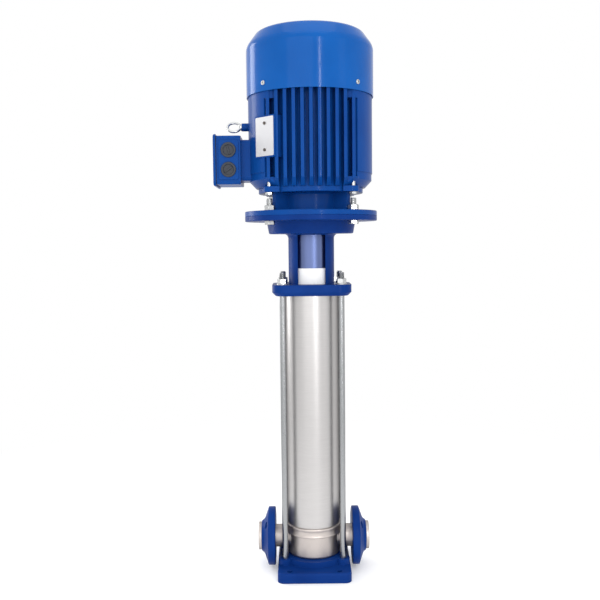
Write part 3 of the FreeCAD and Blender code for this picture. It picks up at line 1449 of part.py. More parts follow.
def make_cowl_screws():
    body = new_body("cowl_screws", several=True)
    start = "cowl_radius - cowl_screw_length"
    shank = pad(body, [circle("0", "0", "cowl_screw_radius")], "cowl_screw_length", plane="XZ_Plane")
    face_outward(shank, "cowl_screw_angle", start, "cowl_screw_level")
    head = pad(body, [circle("0", "0", "cowl_screw_head_radius")], "cowl_screw_head", plane="XZ_Plane")
    face_outward(head, "cowl_screw_angle", "cowl_radius", "cowl_screw_level")
    repeat_round(body, [shank, head], "cowl_screw_count")
    keep("cowl_screws", body)


# Flange bolts, nuts and shield bolts
def make_flange_bolts():
    spots = four_spots("flange_bolt_offset", "flange_bolt_offset")
    bolts = new_body("flange_bolts", several=True)
    pad(bolts, [hexagon(x, y, "flange_nut_flats") for x, y in spots], "flange_head_height",
        lift="hub_top - flange_head_height")
    pad(bolts, [circle(x, y, "flange_bolt_radius") for x, y in spots],
        "flange_top + flange_nut_height + flange_bolt_stand_out - hub_top", lift="hub_top")
    keep("flange_bolts", bolts)
    nuts = new_body("flange_nuts", several=True)
    shapes = []
    for x, y in spots:
        shapes += [hexagon(x, y, "flange_nut_flats"), circle(x, y, "flange_bolt_radius")]
    pad(nuts, shapes, "flange_nut_height", lift="flange_top")
    keep("flange_nuts", nuts)


def make_shield_bolts():
    for label, head_low, shank_low, shank in (
            ("drive_end_bolts", "rim_bottom - shield_bolt_head", "rim_bottom",
             "shield_rim_height + shield_bolt_depth"),
            ("fan_end_bolts", "frame_top + fan_shield_disc", "frame_top - shield_bolt_depth",
             "fan_shield_disc + shield_bolt_depth")):
        bolts = new_body(label, several=True)
        pad(bolts, [hexagon(x, y, "shield_bolt_flats") for x, y in lug_spots()], "shield_bolt_head",
            lift=head_low)
        pad(bolts, [circle(x, y, "shield_bolt_radius") for x, y in lug_spots()], shank, lift=shank_low)
        keep(label, bolts)


# Terminal box
def box_outline(margin="0"):
    side = "box_half_width + (%s)" % margin
    return rectangle("-(%s)" % side, "box_bottom - (%s)" % margin, side, "box_top + (%s)" % margin,
                     "box_corner_radius")


def lid_screw_spots():
    side = "(box_half_width - lid_screw_inset)"
    rise = "((box_top - box_bottom) / 2 - lid_screw_inset)"
    return [(sign_y + side, "box_middle %s %s" % (sign_z, rise)) for sign_y in ("", "-")
            for sign_z in ("+", "-")]


def entry_levels():
    return ["box_middle + entry_spacing / 2", "box_middle - entry_spacing / 2"]


def make_terminal_box():
    body = new_body("terminal_box")
    pad(body, [box_outline()], "box_reach - box_seat_reach", plane="YZ_Plane", lift="-box_reach")
    margin = "(entry_flange_radius + entry_pad_margin)"
    pad(body, [rectangle("-entry_reach - " + margin, "box_middle - entry_spacing / 2 - " + margin,
                         "-entry_reach + " + margin, "box_middle + entry_spacing / 2 + " + margin,
                         "entry_pad_corner")],
        "entry_pad_height + box_wall", plane="XZ_Plane", lift="box_half_width - box_wall")
    cut(body, [box_outline("-box_wall")], "box_reach - box_seat_reach - box_wall + cut_over",
        plane="YZ_Plane", lift="-(box_reach + cut_over)")
    for y, z in lid_screw_spots():
        pad(body, [circle(y, z, "lid_screw_inset")], "box_depth - box_wall / 2",
            plane="YZ_Plane", lift="-box_reach")
    cut(body, [circle(y, z, "lid_screw_radius") for y, z in lid_screw_spots()],
        "lid_screw_depth + box_wall", plane="YZ_Plane", lift="-(box_reach + cut_over)")
    cut(body, [circle("-entry_reach", level, "entry_thread_radius") for level in entry_levels()],
        "entry_pad_height + 2 * box_wall", plane="XZ_Plane", lift="box_half_width - box_wall - cut_over")
    inner = "(neck_half_width - neck_wall)"
    cut(body, [rectangle("-" + inner, "neck_bottom + neck_wall", inner, "neck_top - neck_wall")],
        "2 * box_wall", plane="YZ_Plane", lift="-(box_seat_reach + box_wall + cut_over)")
    keep("terminal_box", body)


def make_terminal_lid():
    gasket = new_body("lid_gasket")
    pad(gasket, [box_outline()], "gasket_thickness", plane="YZ_Plane", lift="-gasket_reach")
    cut(gasket, [box_outline("-2 * lid_screw_inset")], "gasket_thickness + 2 * cut_over",
        plane="YZ_Plane", lift="-(gasket_reach + cut_over)")
    cut(gasket, [circle(y, z, "lid_screw_radius") for y, z in lid_screw_spots()],
        "gasket_thickness + 2 * cut_over", plane="YZ_Plane", lift="-(gasket_reach + cut_over)")
    keep("lid_gasket", gasket)
    body = new_body("terminal_box_lid")
    pad(body, [box_outline("lid_margin")], "lid_thickness", plane="YZ_Plane", lift="-lid_reach")
    dress(body, "Fillet", "lid_edge_radius",
          lambda edge: abs(edge.BoundBox.XMax + value("lid_reach")) < 0.01)
    cut(body, [circle(y, z, "lid_screw_radius") for y, z in lid_screw_spots()],
        "lid_thickness + 2 * cut_over", plane="YZ_Plane", lift="-(lid_reach + cut_over)")
    cut(body, [circle(y, z, "lid_screw_head_radius + lid_screw_pocket") for y, z in lid_screw_spots()],
        "lid_screw_head + cut_over", plane="YZ_Plane", lift="-(lid_reach + cut_over)")
    keep("terminal_box_lid", body)
    screws = new_body("lid_screws", several=True)
    seat = "lid_reach - lid_screw_head"
    pad(screws, [circle(y, z, "lid_screw_radius") for y, z in lid_screw_spots()],
        seat + " - box_reach + lid_screw_depth", plane="YZ_Plane", lift="-(%s)" % seat)
    pad(screws, [circle(y, z, "lid_screw_head_radius") for y, z in lid_screw_spots()],
        "lid_screw_head", plane="YZ_Plane", lift="-lid_reach")
    keep("lid_screws", screws)


def make_entry_plugs():
    body = new_body("cable_entry_plugs", several=True)
    face = "box_half_width + entry_pad_height"
    pad(body, [circle("-entry_reach", level, "entry_thread_radius") for level in entry_levels()],
        "entry_pad_height + box_wall", plane="XZ_Plane", lift="box_half_width - box_wall")
    pad(body, [circle("-entry_reach", level, "entry_flange_radius") for level in entry_levels()],
        "entry_flange_height", plane="XZ_Plane", lift=face)
    cut(body, [circle("-entry_reach", level, "entry_thread_radius - entry_dish_wall")
               for level in entry_levels()],
        "entry_flange_height", plane="XZ_Plane", lift=face + " + entry_dish_floor")
    keep("cable_entry_plugs", body)


def make_terminal_block():
    body = new_body("terminal_block")
    half, side = "terminal_block_length / 2", "terminal_block_width / 2"
    back = "-(box_seat_reach + box_wall)"
    pad(body, [rectangle("-" + half, "box_middle - " + side, half, "box_middle + " + side,
                         "terminal_block_corner")],
        "terminal_block_height", plane="YZ_Plane", lift=back + " - terminal_block_height")
    studs = [("%s * terminal_stud_pitch" % column, "box_middle %s terminal_row_pitch / 2" % row)
             for column in ("-1", "0", "1") for row in ("+", "-")]
    pad(body, [circle(y, z, "terminal_stud_radius") for y, z in studs],
        "terminal_stud_height + terminal_stud_sink",
        plane="YZ_Plane", lift=back + " - terminal_block_height - terminal_stud_height")
    keep("terminal_block", body)


# Lifting eye, nameplate and rivets
def make_lifting_eye():
    face = "-eye_boss_reach"
    centre = "%s - eye_collar_height - eye_ring_radius" % face
    ring = plain("Torus", "eye_ring", {"Radius1": "eye_ring_radius", "Radius2": "eye_wire_radius"},
                 (centre, "0", "eye_level"))
    ring.Placement.Rotation = FreeCAD.Rotation(FreeCAD.Vector(1, 0, 0), value("eye_tilt_angle"))
    collar = plain("Cylinder", "eye_collar", {"Radius": "eye_collar_radius", "Height": "eye_collar_height"},
                   (face, "0", "eye_level"))
    thread = plain("Cylinder", "eye_thread", {"Radius": "eye_thread_radius", "Height": "eye_thread_depth"},
                   (face, "0", "eye_level"))
    collar.Placement.Rotation = FreeCAD.Rotation(FreeCAD.Vector(0, 1, 0), -90)
    thread.Placement.Rotation = FreeCAD.Rotation(FreeCAD.Vector(0, 1, 0), 90)
    fused = document.addObject("Part::MultiFuse", "lifting_eye")
    fused.Shapes = [ring, collar, thread]
    keep("lifting_eye", fused)


def rivet_rises():
    return ["rivet_spacing / 2", "-rivet_spacing / 2"]


def make_nameplate():
    """Bare plate on the frame's front left corner, held by two rivets."""
    body = new_body("nameplate")
    half, rise = "plate_width / 2", "plate_height / 2"
    plate = pad(body, [rectangle("-" + half, "-" + rise, half, rise, "plate_corner_radius")],
                "plate_thickness", plane="XZ_Plane")
    face_outward(plate, "name_pad_angle", "name_pad_reach", "name_level")
    holes = cut(body, [circle("0", z, "rivet_radius") for z in rivet_rises()],
                "plate_thickness + 2 * cut_over",
                plane="XZ_Plane")
    face_outward(holes, "name_pad_angle", "name_pad_reach - cut_over", "name_level")
    keep("nameplate", body)
    rivets = new_body("nameplate_rivets", several=True)
    shanks = pad(rivets, [circle("0", z, "rivet_radius") for z in rivet_rises()],
                 "rivet_depth + plate_thickness", plane="XZ_Plane")
    face_outward(shanks, "name_pad_angle", "name_pad_reach - rivet_depth", "name_level")
    heads = pad(rivets, [circle("0", z, "rivet_head_radius") for z in rivet_rises()], "rivet_head",
                plane="XZ_Plane")
    face_outward(heads, "name_pad_angle", "name_pad_reach + plate_thickness", "name_level")
    keep("nameplate_rivets", rivets)


def build():
    fill_sheet()
    make_base_plate()
    make_port_casing()
    make_drain_plug()
    make_loose_flange("inlet_flange", "-")
    make_loose_flange("outlet_flange", "")
    make_sleeve()
    make_o_rings()
    make_stay_bolts()
    make_suction_cup()
    make_foot_bearing()
    make_impellers()
    make_impeller_spacers()
    make_stage_chambers()
    make_stack_retainer()
    make_pump_shaft()
    make_pump_head()
    make_vent_plug()
    make_shaft_seal()
    make_coupling()
    make_guard("guard_front", "front_angle")
    make_guard("guard_rear", "rear_angle")
    make_label_plate()
    make_drive_end_shield()
    make_shield_plug()
    make_fan_end_shield()
    make_bearing("drive_bearing", "lower_bearing_low")
    make_bearing("fan_bearing", "upper_bearing_low")
    make_motor_frame()
    make_stator()
    make_rotor()
    make_fan()
    make_fan_cowl()
    make_cowl_grille()
    make_cowl_screws()
    make_flange_bolts()
    make_shield_bolts()
    make_terminal_box()
    make_terminal_lid()
    make_entry_plugs()
    make_terminal_block()
    make_lifting_eye()
    make_nameplate()
    document.recompute()


def check():
    """Stop if a feature failed, a cut removed nothing or a shape is bad."""
    faults = []
    for item in document.Objects:
        failed = "Invalid" in item.State or "Error" in item.State
        if failed or (item.isDerivedFrom("PartDesign::Feature") and item.Shape.isNull()):
            faults.append("%s failed" % item.Name)
        elif item.TypeId in ("PartDesign::Pocket", "PartDesign::Groove"):
            if item.Shape.Volume > item.BaseFeature.Shape.Volume - TOLERANCE:
                faults.append("%s cuts nothing" % item.Name)
    for label, item in nodes.items():
        if item.Shape.isNull() or not item.Shape.isValid():
            faults.append("%s has a bad shape" % label)
    if faults:
        raise RuntimeError("; ".join(faults))


def export():
    os.makedirs("parts", exist_ok=True)
    for label, item in nodes.items():
        item.Shape.exportStep("parts/%s.step" % label)
        print(label, len(item.Shape.Solids), round(item.Shape.Volume / 1000, 1))


build()
check()
export()
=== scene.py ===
import math

import bmesh
import bpy
from mathutils import Matrix, Vector


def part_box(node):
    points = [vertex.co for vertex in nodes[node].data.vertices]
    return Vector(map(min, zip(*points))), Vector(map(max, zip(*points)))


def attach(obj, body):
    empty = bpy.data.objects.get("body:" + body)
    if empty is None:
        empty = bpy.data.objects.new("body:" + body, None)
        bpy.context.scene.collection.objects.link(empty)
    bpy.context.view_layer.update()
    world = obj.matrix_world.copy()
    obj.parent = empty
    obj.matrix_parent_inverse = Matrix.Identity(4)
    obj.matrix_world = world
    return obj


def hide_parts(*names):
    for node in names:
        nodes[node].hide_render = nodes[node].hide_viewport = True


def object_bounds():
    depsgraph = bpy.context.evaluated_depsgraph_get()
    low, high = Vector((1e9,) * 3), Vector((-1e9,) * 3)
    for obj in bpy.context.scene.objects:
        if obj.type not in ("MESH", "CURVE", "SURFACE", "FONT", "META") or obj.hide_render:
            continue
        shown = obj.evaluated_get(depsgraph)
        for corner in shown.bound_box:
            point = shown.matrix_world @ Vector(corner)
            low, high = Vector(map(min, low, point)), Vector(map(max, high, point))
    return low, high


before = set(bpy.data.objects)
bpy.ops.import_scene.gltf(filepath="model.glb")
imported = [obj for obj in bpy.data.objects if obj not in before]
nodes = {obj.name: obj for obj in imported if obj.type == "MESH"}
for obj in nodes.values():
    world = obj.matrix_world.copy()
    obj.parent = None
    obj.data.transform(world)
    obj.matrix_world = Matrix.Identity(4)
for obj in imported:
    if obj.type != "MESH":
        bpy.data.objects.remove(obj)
cad_low, cad_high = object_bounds()

# Camera at the photograph's viewing angle
PITCH_DOWN = 0.0729
ROLL = -0.0102
CAMERA_PLACE = (-0.0314, -2.1537, 0.8874)
FOCAL_PIXELS = 804.1
PICTURE_PIXELS = 600.0
SENSOR_WIDTH = 36.0
NEAREST_SEEN = 0.1
FARTHEST_SEEN = 40.0

lens_data = bpy.data.cameras.new("camera")
camera = bpy.data.objects.new("camera", lens_data)
bpy.context.scene.collection.objects.link(camera)
lens_data.sensor_width = SENSOR_WIDTH
lens_data.lens = SENSOR_WIDTH * FOCAL_PIXELS / PICTURE_PIXELS
lens_data.clip_start = NEAREST_SEEN
lens_data.clip_end = FARTHEST_SEEN
camera.location = CAMERA_PLACE
camera.rotation_euler = (Matrix.Rotation(math.pi / 2 - PITCH_DOWN, 4, "X")
                         @ Matrix.Rotation(ROLL, 4, "Z")).to_euler()
bpy.context.scene.camera = camera
bpy.context.scene.view_settings.view_transform = "Standard"


# Range of a noise pattern that carries nearly all of its values
PATTERN_LOW = 0.3
PATTERN_HIGH = 0.7

EDGE_SAMPLES = 6
COARSE = 4
FINE = 2


# Node helpers
def new_finish(name):
    """Material with an empty Principled shader; returns it with its tree."""
    material = bpy.data.materials.new(name)
    material.use_nodes = True
    tree = material.node_tree
    return material, tree, tree.nodes["Principled BSDF"]


def add_node(tree, kind, **inputs):
    node = tree.nodes.new("ShaderNode" + kind)
    for socket, amount in inputs.items():
        node.inputs[socket.replace("_", " ")].default_value = amount
    return node


def object_place(tree, scale=(1, 1, 1)):
    place = add_node(tree, "TexCoord")
    mapping = add_node(tree, "Mapping")
    mapping.inputs["Scale"].default_value = scale
    tree.links.new(place.outputs["Object"], mapping.inputs["Vector"])
    return mapping.outputs["Vector"]


def noise(tree, place, scale, detail, rough=0.5):
    node = add_node(tree, "TexNoise", Scale=scale, Detail=detail, Roughness=rough)
    tree.links.new(place, node.inputs["Vector"])
    return node.outputs["Fac"]


def tones(tree, pattern, dark, light):
    """Colour that runs from dark to light with a pattern."""
    node = tree.nodes.new("ShaderNodeValToRGB")
    first, last = node.color_ramp.elements
    first.position, first.color = PATTERN_LOW, (*dark, 1.0)
    last.position, last.color = PATTERN_HIGH, (*light, 1.0)
    tree.links.new(pattern, node.inputs["Fac"])
    return node.outputs["Color"]


def span(tree, pattern, low, high):
    """Stretch a pattern to a range."""
    node = add_node(tree, "MapRange", From_Min=PATTERN_LOW, From_Max=PATTERN_HIGH, To_Min=low, To_Max=high)
    tree.links.new(pattern, node.inputs["Value"])
    return node.outputs["Result"]


def bump(tree, shader, height, strength, distance, edge=0.0):
    """Surface relief, over softly rounded edges where edge is a radius."""
    node = add_node(tree, "Bump", Strength=strength, Distance=distance)
    tree.links.new(height, node.inputs["Height"])
    if edge:
        rounded = add_node(tree, "Bevel", Radius=edge)
        rounded.samples = EDGE_SAMPLES
        tree.links.new(rounded.outputs["Normal"], node.inputs["Normal"])
    tree.links.new(node.outputs["Normal"], shader.inputs["Normal"])


# Finishes
def enamel(name, light, dark, grain, depth, roughness, edge, shine, coat):
    """Sprayed enamel: slight orange peel, faint tone drift, glossy coat."""
    drift_scale, roughness_drift, coat_roughness, peel_strength = 9, 0.08, 0.12, 0.25
    material, tree, shader = new_finish(name)
    place = object_place(tree)
    drift = noise(tree, place, drift_scale, COARSE)
    tree.links.new(tones(tree, drift, dark, light), shader.inputs["Base Color"])
    peel = noise(tree, place, grain, FINE)
    tree.links.new(span(tree, drift, roughness, roughness + roughness_drift), shader.inputs["Roughness"])
    shader.inputs["Specular IOR Level"].default_value = shine
    shader.inputs["Coat Weight"].default_value = coat
    shader.inputs["Coat Roughness"].default_value = coat_roughness
    bump(tree, shader, peel, peel_strength, depth, edge)
    return material


def steel(name, tone, brushing, grain, roughness, depth=0.00004, edge=0.0006, drift=0.12, painted_flank_shade=0.5):
    """Bare metal with fine marks stretched along one direction; its edge tint dims the reflection at
    grazing angles, a painted shade that darkens the sides of round parts.
    """
    smoother, rougher, mark_sharpness, mark_strength = 0.04, 0.06, 0.65, 0.3
    material, tree, shader = new_finish(name)
    place = object_place(tree, brushing)
    marks = noise(tree, place, grain, COARSE, mark_sharpness)
    dark = [level * (1 - drift) for level in tone]
    tree.links.new(tones(tree, marks, dark, tone), shader.inputs["Base Color"])
    shader.inputs["Metallic"].default_value = 1.0
    # Painted shade: an edge tint below 1 darkens the metal's reflection towards the sides of round parts
    shader.inputs["Specular Tint"].default_value = (painted_flank_shade, painted_flank_shade, painted_flank_shade, 1)
    tree.links.new(span(tree, marks, roughness - smoother, roughness + rougher), shader.inputs["Roughness"])
    bump(tree, shader, marks, mark_strength, depth, edge)
    return material


def moulded(name, light, dark, roughness, grain=900, depth=0.00006, edge=0.0006):
    """Moulded plastic or rubber with a fine spark texture."""
    drift_scale, drift_detail, roughness_drift, spark_strength = 30, 3, 0.1, 0.3
    material, tree, shader = new_finish(name)
    place = object_place(tree)
    drift = noise(tree, place, drift_scale, drift_detail)
    tree.links.new(tones(tree, drift, dark, light), shader.inputs["Base Color"])
    tree.links.new(span(tree, drift, roughness, roughness + roughness_drift), shader.inputs["Roughness"])
    bump(tree, shader, noise(tree, place, grain, FINE), spark_strength, depth, edge)
    return material


EVEN = (1, 1, 1)

cast_blue = enamel("cast_blue_enamel", (0.006, 0.042, 0.225), (0.003, 0.028, 0.170),
                   grain=260, depth=0.0003, roughness=0.34, edge=0.0016, shine=0.04, coat=0.02)
motor_blue = enamel("motor_blue_enamel", (0.004, 0.062, 0.285), (0.003, 0.048, 0.240),
                    grain=420, depth=0.00016, roughness=0.28, edge=0.0012, shine=0.05, coat=0.05)
cowl_blue = enamel("cowl_blue_enamel", (0.003, 0.098, 0.395), (0.002, 0.084, 0.350),
                   grain=500, depth=0.00010, roughness=0.14, edge=0.0008, shine=0.05, coat=0.18)
# Sleeve, casing, rods and guard take edge tints below 1: painted shade at their sides
sleeve_steel = steel("brushed_sleeve", (0.585, 0.57, 0.565), brushing=(1, 1, 60), grain=24,
                     roughness=0.36, depth=0.00003, painted_flank_shade=0.1)
casing_steel = steel("blasted_stainless", (0.60, 0.545, 0.515), brushing=EVEN, grain=700,
                     roughness=0.40, depth=0.00008, painted_flank_shade=0.25)
weld_steel = steel("weld_bead", (0.42, 0.40, 0.385), brushing=EVEN, grain=260, roughness=0.36,
                   depth=0.0002)
rod_steel = steel("drawn_rod", (0.38, 0.39, 0.40), brushing=(60, 60, 1), grain=30, roughness=0.26,
                  painted_flank_shade=0.25)
zinc_steel = steel("bright_zinc", (0.62, 0.63, 0.63), brushing=EVEN, grain=140, roughness=0.28,
                   depth=0.00005, edge=0.0008)
shaft_steel = steel("ground_shaft", (0.55, 0.55, 0.56), brushing=(1, 1, 80), grain=20, roughness=0.2)
# Painted reflection: the bare steel guard gets a dark blue tone that stands in for the blue it reflects
guard_steel_painted_reflection = steel("guard_sheet", (0.13, 0.17, 0.34), brushing=(60, 60, 1), grain=16,
                    roughness=0.34, painted_flank_shade=0.3)
core_steel = steel("stacked_laminations", (0.22, 0.22, 0.23), brushing=(1, 1, 400), grain=5,
                   roughness=0.5, depth=0.0002)
plate_metal = steel("plate_aluminium", (0.80, 0.80, 0.82), brushing=(1, 1, 120), grain=18,
                    roughness=0.40, depth=0.00002, edge=0.0004, drift=0.05)
# One dark tone for every rivet
dark_rivet_tone = steel("dark_rivet", (0.16, 0.14, 0.13), brushing=EVEN, grain=300, roughness=0.38)
copper_wire = steel("varnished_copper", (0.50, 0.20, 0.08), brushing=(1, 1, 300), grain=6,
                    roughness=0.35, depth=0.0004)
black_plastic = moulded("black_plastic", (0.022, 0.022, 0.024), (0.015, 0.015, 0.016), roughness=0.38)
slate_plastic = moulded("slate_plastic", (0.020, 0.026, 0.040), (0.012, 0.017, 0.028), roughness=0.42)
black_rubber = moulded("black_rubber", (0.016, 0.016, 0.016), (0.01, 0.01, 0.01), roughness=0.65)
carbon_face = moulded("lapped_carbon", (0.05, 0.05, 0.052), (0.035, 0.035, 0.036), roughness=0.3)
label_white = moulded("white_label", (0.96, 0.96, 0.95), (0.93, 0.93, 0.92), roughness=0.4,
                      grain=300, depth=0.00003)

FINISH = {
    "base_plate": cast_blue, "pump_head": cast_blue,
    "inlet_flange": cast_blue, "outlet_flange": cast_blue,
    "port_casing": casing_steel, "outer_sleeve": sleeve_steel,
    "stay_bolts": rod_steel, "stay_bolt_washers": zinc_steel, "stay_bolt_nuts": zinc_steel,
    "sleeve_o_rings": black_rubber, "drain_plug": casing_steel, "vent_plug": zinc_steel,
    "suction_cup": casing_steel, "impellers": casing_steel, "impeller_spacers": shaft_steel,
    "stage_chambers": casing_steel, "stack_retainer": casing_steel, "foot_bearing": carbon_face,
    "pump_shaft": shaft_steel, "seal_cover": casing_steel, "seal_seat": carbon_face,
    "seal_rotor": shaft_steel, "seal_cover_screws": zinc_steel,
    "coupling_half_front": casing_steel, "coupling_half_rear": casing_steel,
    "coupling_screws": zinc_steel, "guard_front": guard_steel_painted_reflection, "guard_rear": guard_steel_painted_reflection,
    "label_plate": label_white, "drive_end_shield": motor_blue, "fan_end_shield": motor_blue,
    "drive_bearing_outer_ring": shaft_steel, "drive_bearing_inner_ring": shaft_steel,
    "drive_bearing_balls": shaft_steel, "fan_bearing_balls": shaft_steel,
    "fan_bearing_outer_ring": shaft_steel, "fan_bearing_inner_ring": shaft_steel,
    "motor_frame": motor_blue, "stator_core": core_steel, "stator_windings": copper_wire,
    "rotor_core": core_steel, "motor_shaft": shaft_steel, "cooling_fan": black_plastic,
    "fan_cowl": cowl_blue, "cowl_grille": cowl_blue, "cowl_screws": zinc_steel,
    "flange_bolts": zinc_steel, "shield_plug": zinc_steel,
    "flange_nuts": zinc_steel, "drive_end_bolts": zinc_steel, "fan_end_bolts": zinc_steel,
    "terminal_box": motor_blue, "terminal_box_lid": motor_blue, "lid_screws": zinc_steel,
    "lid_gasket": black_rubber, "cable_entry_plugs": slate_plastic,
    "terminal_block": black_plastic, "lifting_eye": zinc_steel,
    "nameplate": plate_metal, "nameplate_rivets": dark_rivet_tone,
}
for name, item in nodes.items():
    item.data.materials.clear()
    item.data.materials.append(FINISH[name])


# Lengths in metres, angles in degrees
SAME_PLACE = 0.000002
CREASE_ANGLE = 32


# Mesh helpers
def new_piece(name, shape, finish, body, replaced=(), crease=CREASE_ANGLE):
    """Close a bmesh into an object that rides on a body."""
    bmesh.ops.remove_doubles(shape, verts=shape.verts, dist=SAME_PLACE)
    bmesh.ops.recalc_face_normals(shape, faces=shape.faces)
    mesh = bpy.data.meshes.new(name)
    shape.to_mesh(mesh)
    shape.free()
    mesh.shade_smooth()
    mesh.set_sharp_from_angle(angle=math.radians(crease))
    mesh.materials.append(finish)
    piece = bpy.data.objects.new(name, mesh)
    bpy.context.scene.collection.objects.link(piece)
    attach(piece, body)
    if replaced:
        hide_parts(*replaced)
    return piece


def turned(shape, profile, steps=48):
    """Spin a closed line of (radius, height) points round Z."""
    before = set(shape.verts)
    line = [shape.verts.new((radius, 0, height)) for radius, height in profile]
    edges = [shape.edges.new(pair) for pair in zip(line, line[1:] + line[:1])
             if pair[0].co.x > 0 or pair[1].co.x > 0]
    bmesh.ops.spin(shape, geom=line + edges, cent=(0, 0, 0), axis=(0, 0, 1),
                   angle=2 * math.pi, steps=steps, use_merge=True)
    return [vert for vert in shape.verts if vert not in before]


def edges_of(verts):
    """Edges that meet the vertices, each once and always in the same order."""
    return list(dict.fromkeys(edge for vert in verts for edge in vert.link_edges))


def loop(shape, reach, level, steps):
    """Closed loop round Z; reach and level give its shape at each angle."""
    verts = bmesh.ops.create_circle(shape, segments=steps, radius=1)["verts"]
    for vert in verts:
        angle = math.atan2(vert.co.y, vert.co.x)
        radius = reach(angle)
        vert.co = (radius * math.cos(angle), radius * math.sin(angle), level(radius))
    return edges_of(verts)


CHAMFER_SHARE = 0.475
CHAMFER_ANGLE = 28


def six_sided(shape, flats, low, high, bore=0.0, steps=48):
    """Nut or bolt head with the turned chamfer at both ends."""
    def hexagon(angle):
        return flats / 2 / math.cos((angle % (math.pi / 3)) - math.pi / 6)

    rim = flats * CHAMFER_SHARE
    slope = math.tan(math.radians(CHAMFER_ANGLE))
    before = set(shape.verts)
    rings = [loop(shape, lambda angle: bore, lambda radius: low, steps)] if bore else []
    rings += [loop(shape, lambda angle: rim, lambda radius: low, steps),
              loop(shape, hexagon, lambda radius: low + (radius - rim) * slope, steps),
              loop(shape, hexagon, lambda radius: high - (radius - rim) * slope, steps),
              loop(shape, lambda angle: rim, lambda radius: high, steps)]
    if bore:
        rings += [loop(shape, lambda angle: bore, lambda radius: high, steps), rings[0]]
    for one, other in zip(rings, rings[1:]):
        bmesh.ops.bridge_loops(shape, edges=one + other)
    if not bore:
        bmesh.ops.holes_fill(shape, edges=rings[0] + rings[-1])
    return [vert for vert in shape.verts if vert not in before]


def stacked(shape, rings, steps=48):
    """Solid bridged through (reach, height) loops, closed at its first and last."""
    before = set(shape.verts)
    loops = []
    for reach, height in rings:
        outline = reach if callable(reach) else lambda angle, radius=reach: radius
        loops.append(loop(shape, outline, lambda radius, level=height: level, steps))
    for one, other in zip(loops, loops[1:]):
        bmesh.ops.bridge_loops(shape, edges=one + other)
    bmesh.ops.holes_fill(shape, edges=loops[0] + loops[-1])
    return [vert for vert in shape.verts if vert not in before]


def cross(length, width):
    """Outline of a cross recess at each angle."""
    never_zero = 1e-9

    def reach(angle):
        across, along = abs(math.cos(angle)) + never_zero, abs(math.sin(angle)) + never_zero
        return max(min(length / across, width / along), min(width / across, length / along))
    return reach


# Pan head as shares of its radius and height, and its recess as shares of the radius
PAN_HEAD = ((1, 0), (1, 0.35), (0.94, 0.66), (0.80, 0.90), (0.68, 1))
RECESS_MOUTH = (0.62, 0.13)
RECESS_FLOOR = (0.40, 0.12)
RECESS_FLOOR_LEVEL = 0.25
SCREW_STEPS = 64


def pan_screw(shape, shank, length, radius, height):
    """Pan-head screw with a cross recess, its seat at zero and its head above."""
    mouth, floor = [cross(share * radius, width * radius) for share, width in (RECESS_MOUTH, RECESS_FLOOR)]
    head = [(share * radius, rise * height) for share, rise in PAN_HEAD]
    return stacked(shape, [(shank, -length), (shank, 0), *head, (mouth, height),
                           (floor, RECESS_FLOOR_LEVEL * height)], SCREW_STEPS)


THREAD_DEPTH = 0.6


def thread(shape, radius, pitch, low, high, steps=20):
    """Helical thread over a core that ends in a small chamfer."""
    before = set(shape.verts)
    root = radius - THREAD_DEPTH * pitch
    line = [shape.verts.new((root, 0, low)), shape.verts.new((radius, 0, low + pitch / 2)),
            shape.verts.new((root, 0, low + pitch))]
    edges = [shape.edges.new(pair) for pair in zip(line, line[1:])]
    turns = int((high - low) / pitch) - 1
    bmesh.ops.spin(shape, geom=line + edges, cent=(0, 0, 0), axis=(0, 0, 1),
                   angle=2 * math.pi * turns, steps=steps * turns, dvec=(0, 0, pitch / steps))
    turned(shape, [(0, low), (root, low), (root, high - pitch / 2), (root - pitch / 2, high),
                   (0, high)], steps)
    return [vert for vert in shape.verts if vert not in before]


def move(shape, verts, place, tilt=None):
    """Turn new vertices and carry them to their place."""
    matrix = Matrix.Translation(place)
    if tilt is not None:
        matrix = matrix @ tilt
    bmesh.ops.transform(shape, matrix=matrix, verts=verts)


def stray(first, step, index):
    """Each nut and screw of a set stands at an angle of its own."""
    return Matrix.Rotation(math.radians(first + step * index), 4, "Z")


def shifted(profile, level):
    return [(radius, level + height) for radius, height in profile]


def four_spots(x, y):
    return [(-x, -y), (-x, y), (x, -y), (x, y)]


# Fasteners
STAY_X = 0.077
STAY_Y = 0.052
FLANGE_SPOT = 0.150 * math.cos(math.pi / 4)

BOLT_RADIUS = 0.008
BOLT_PITCH = 0.002
BOLT_STEPS = 40
NUT_FLATS = 0.024
NUT_BORE = 0.0079
FLANGE_HEAD = 0.010
THREAD_IN_NUT = 0.004
HEAD_SINK = 0.001

SHIELD_BOLT_RADIUS = 0.005
SHIELD_BOLT_STEPS = 24
SHIELD_BOLT_FLATS = 0.017
SHIELD_BOLT_HEAD = 0.007

# First angle and step from one to the next
STAY_NUT_TURN = (9, 17)
FLANGE_BOLT_TURN = (20, 23)
SHIELD_BOLT_TURN = (11, 31)
COWL_SCREW_TURN = (20, 33)


def rod(radius, low, high):
    return [(0, low), (radius, low), (radius, high), (0, high)]


def make_stay_bolts():
    rod_low, rod_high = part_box("stay_bolts")
    nut_low, nut_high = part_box("stay_bolt_nuts")
    rods = bmesh.new()
    nuts = bmesh.new()
    for index, (x, y) in enumerate(four_spots(STAY_X, STAY_Y)):
        top = nut_high.z - THREAD_IN_NUT
        move(rods, turned(rods, rod(BOLT_RADIUS, rod_low.z, top), BOLT_STEPS), (x, y, 0))
        move(rods, thread(rods, BOLT_RADIUS, BOLT_PITCH, top, rod_high.z), (x, y, 0))
        nut = six_sided(nuts, NUT_FLATS, nut_low.z, nut_high.z, NUT_BORE)
        move(nuts, nut, (x, y, 0), stray(*STAY_NUT_TURN, index))
    new_piece("stay_rods_threaded", rods, rod_steel, "pump", ["stay_bolts"])
    new_piece("stay_nuts_chamfered", nuts, zinc_steel, "pump", ["stay_bolt_nuts"])


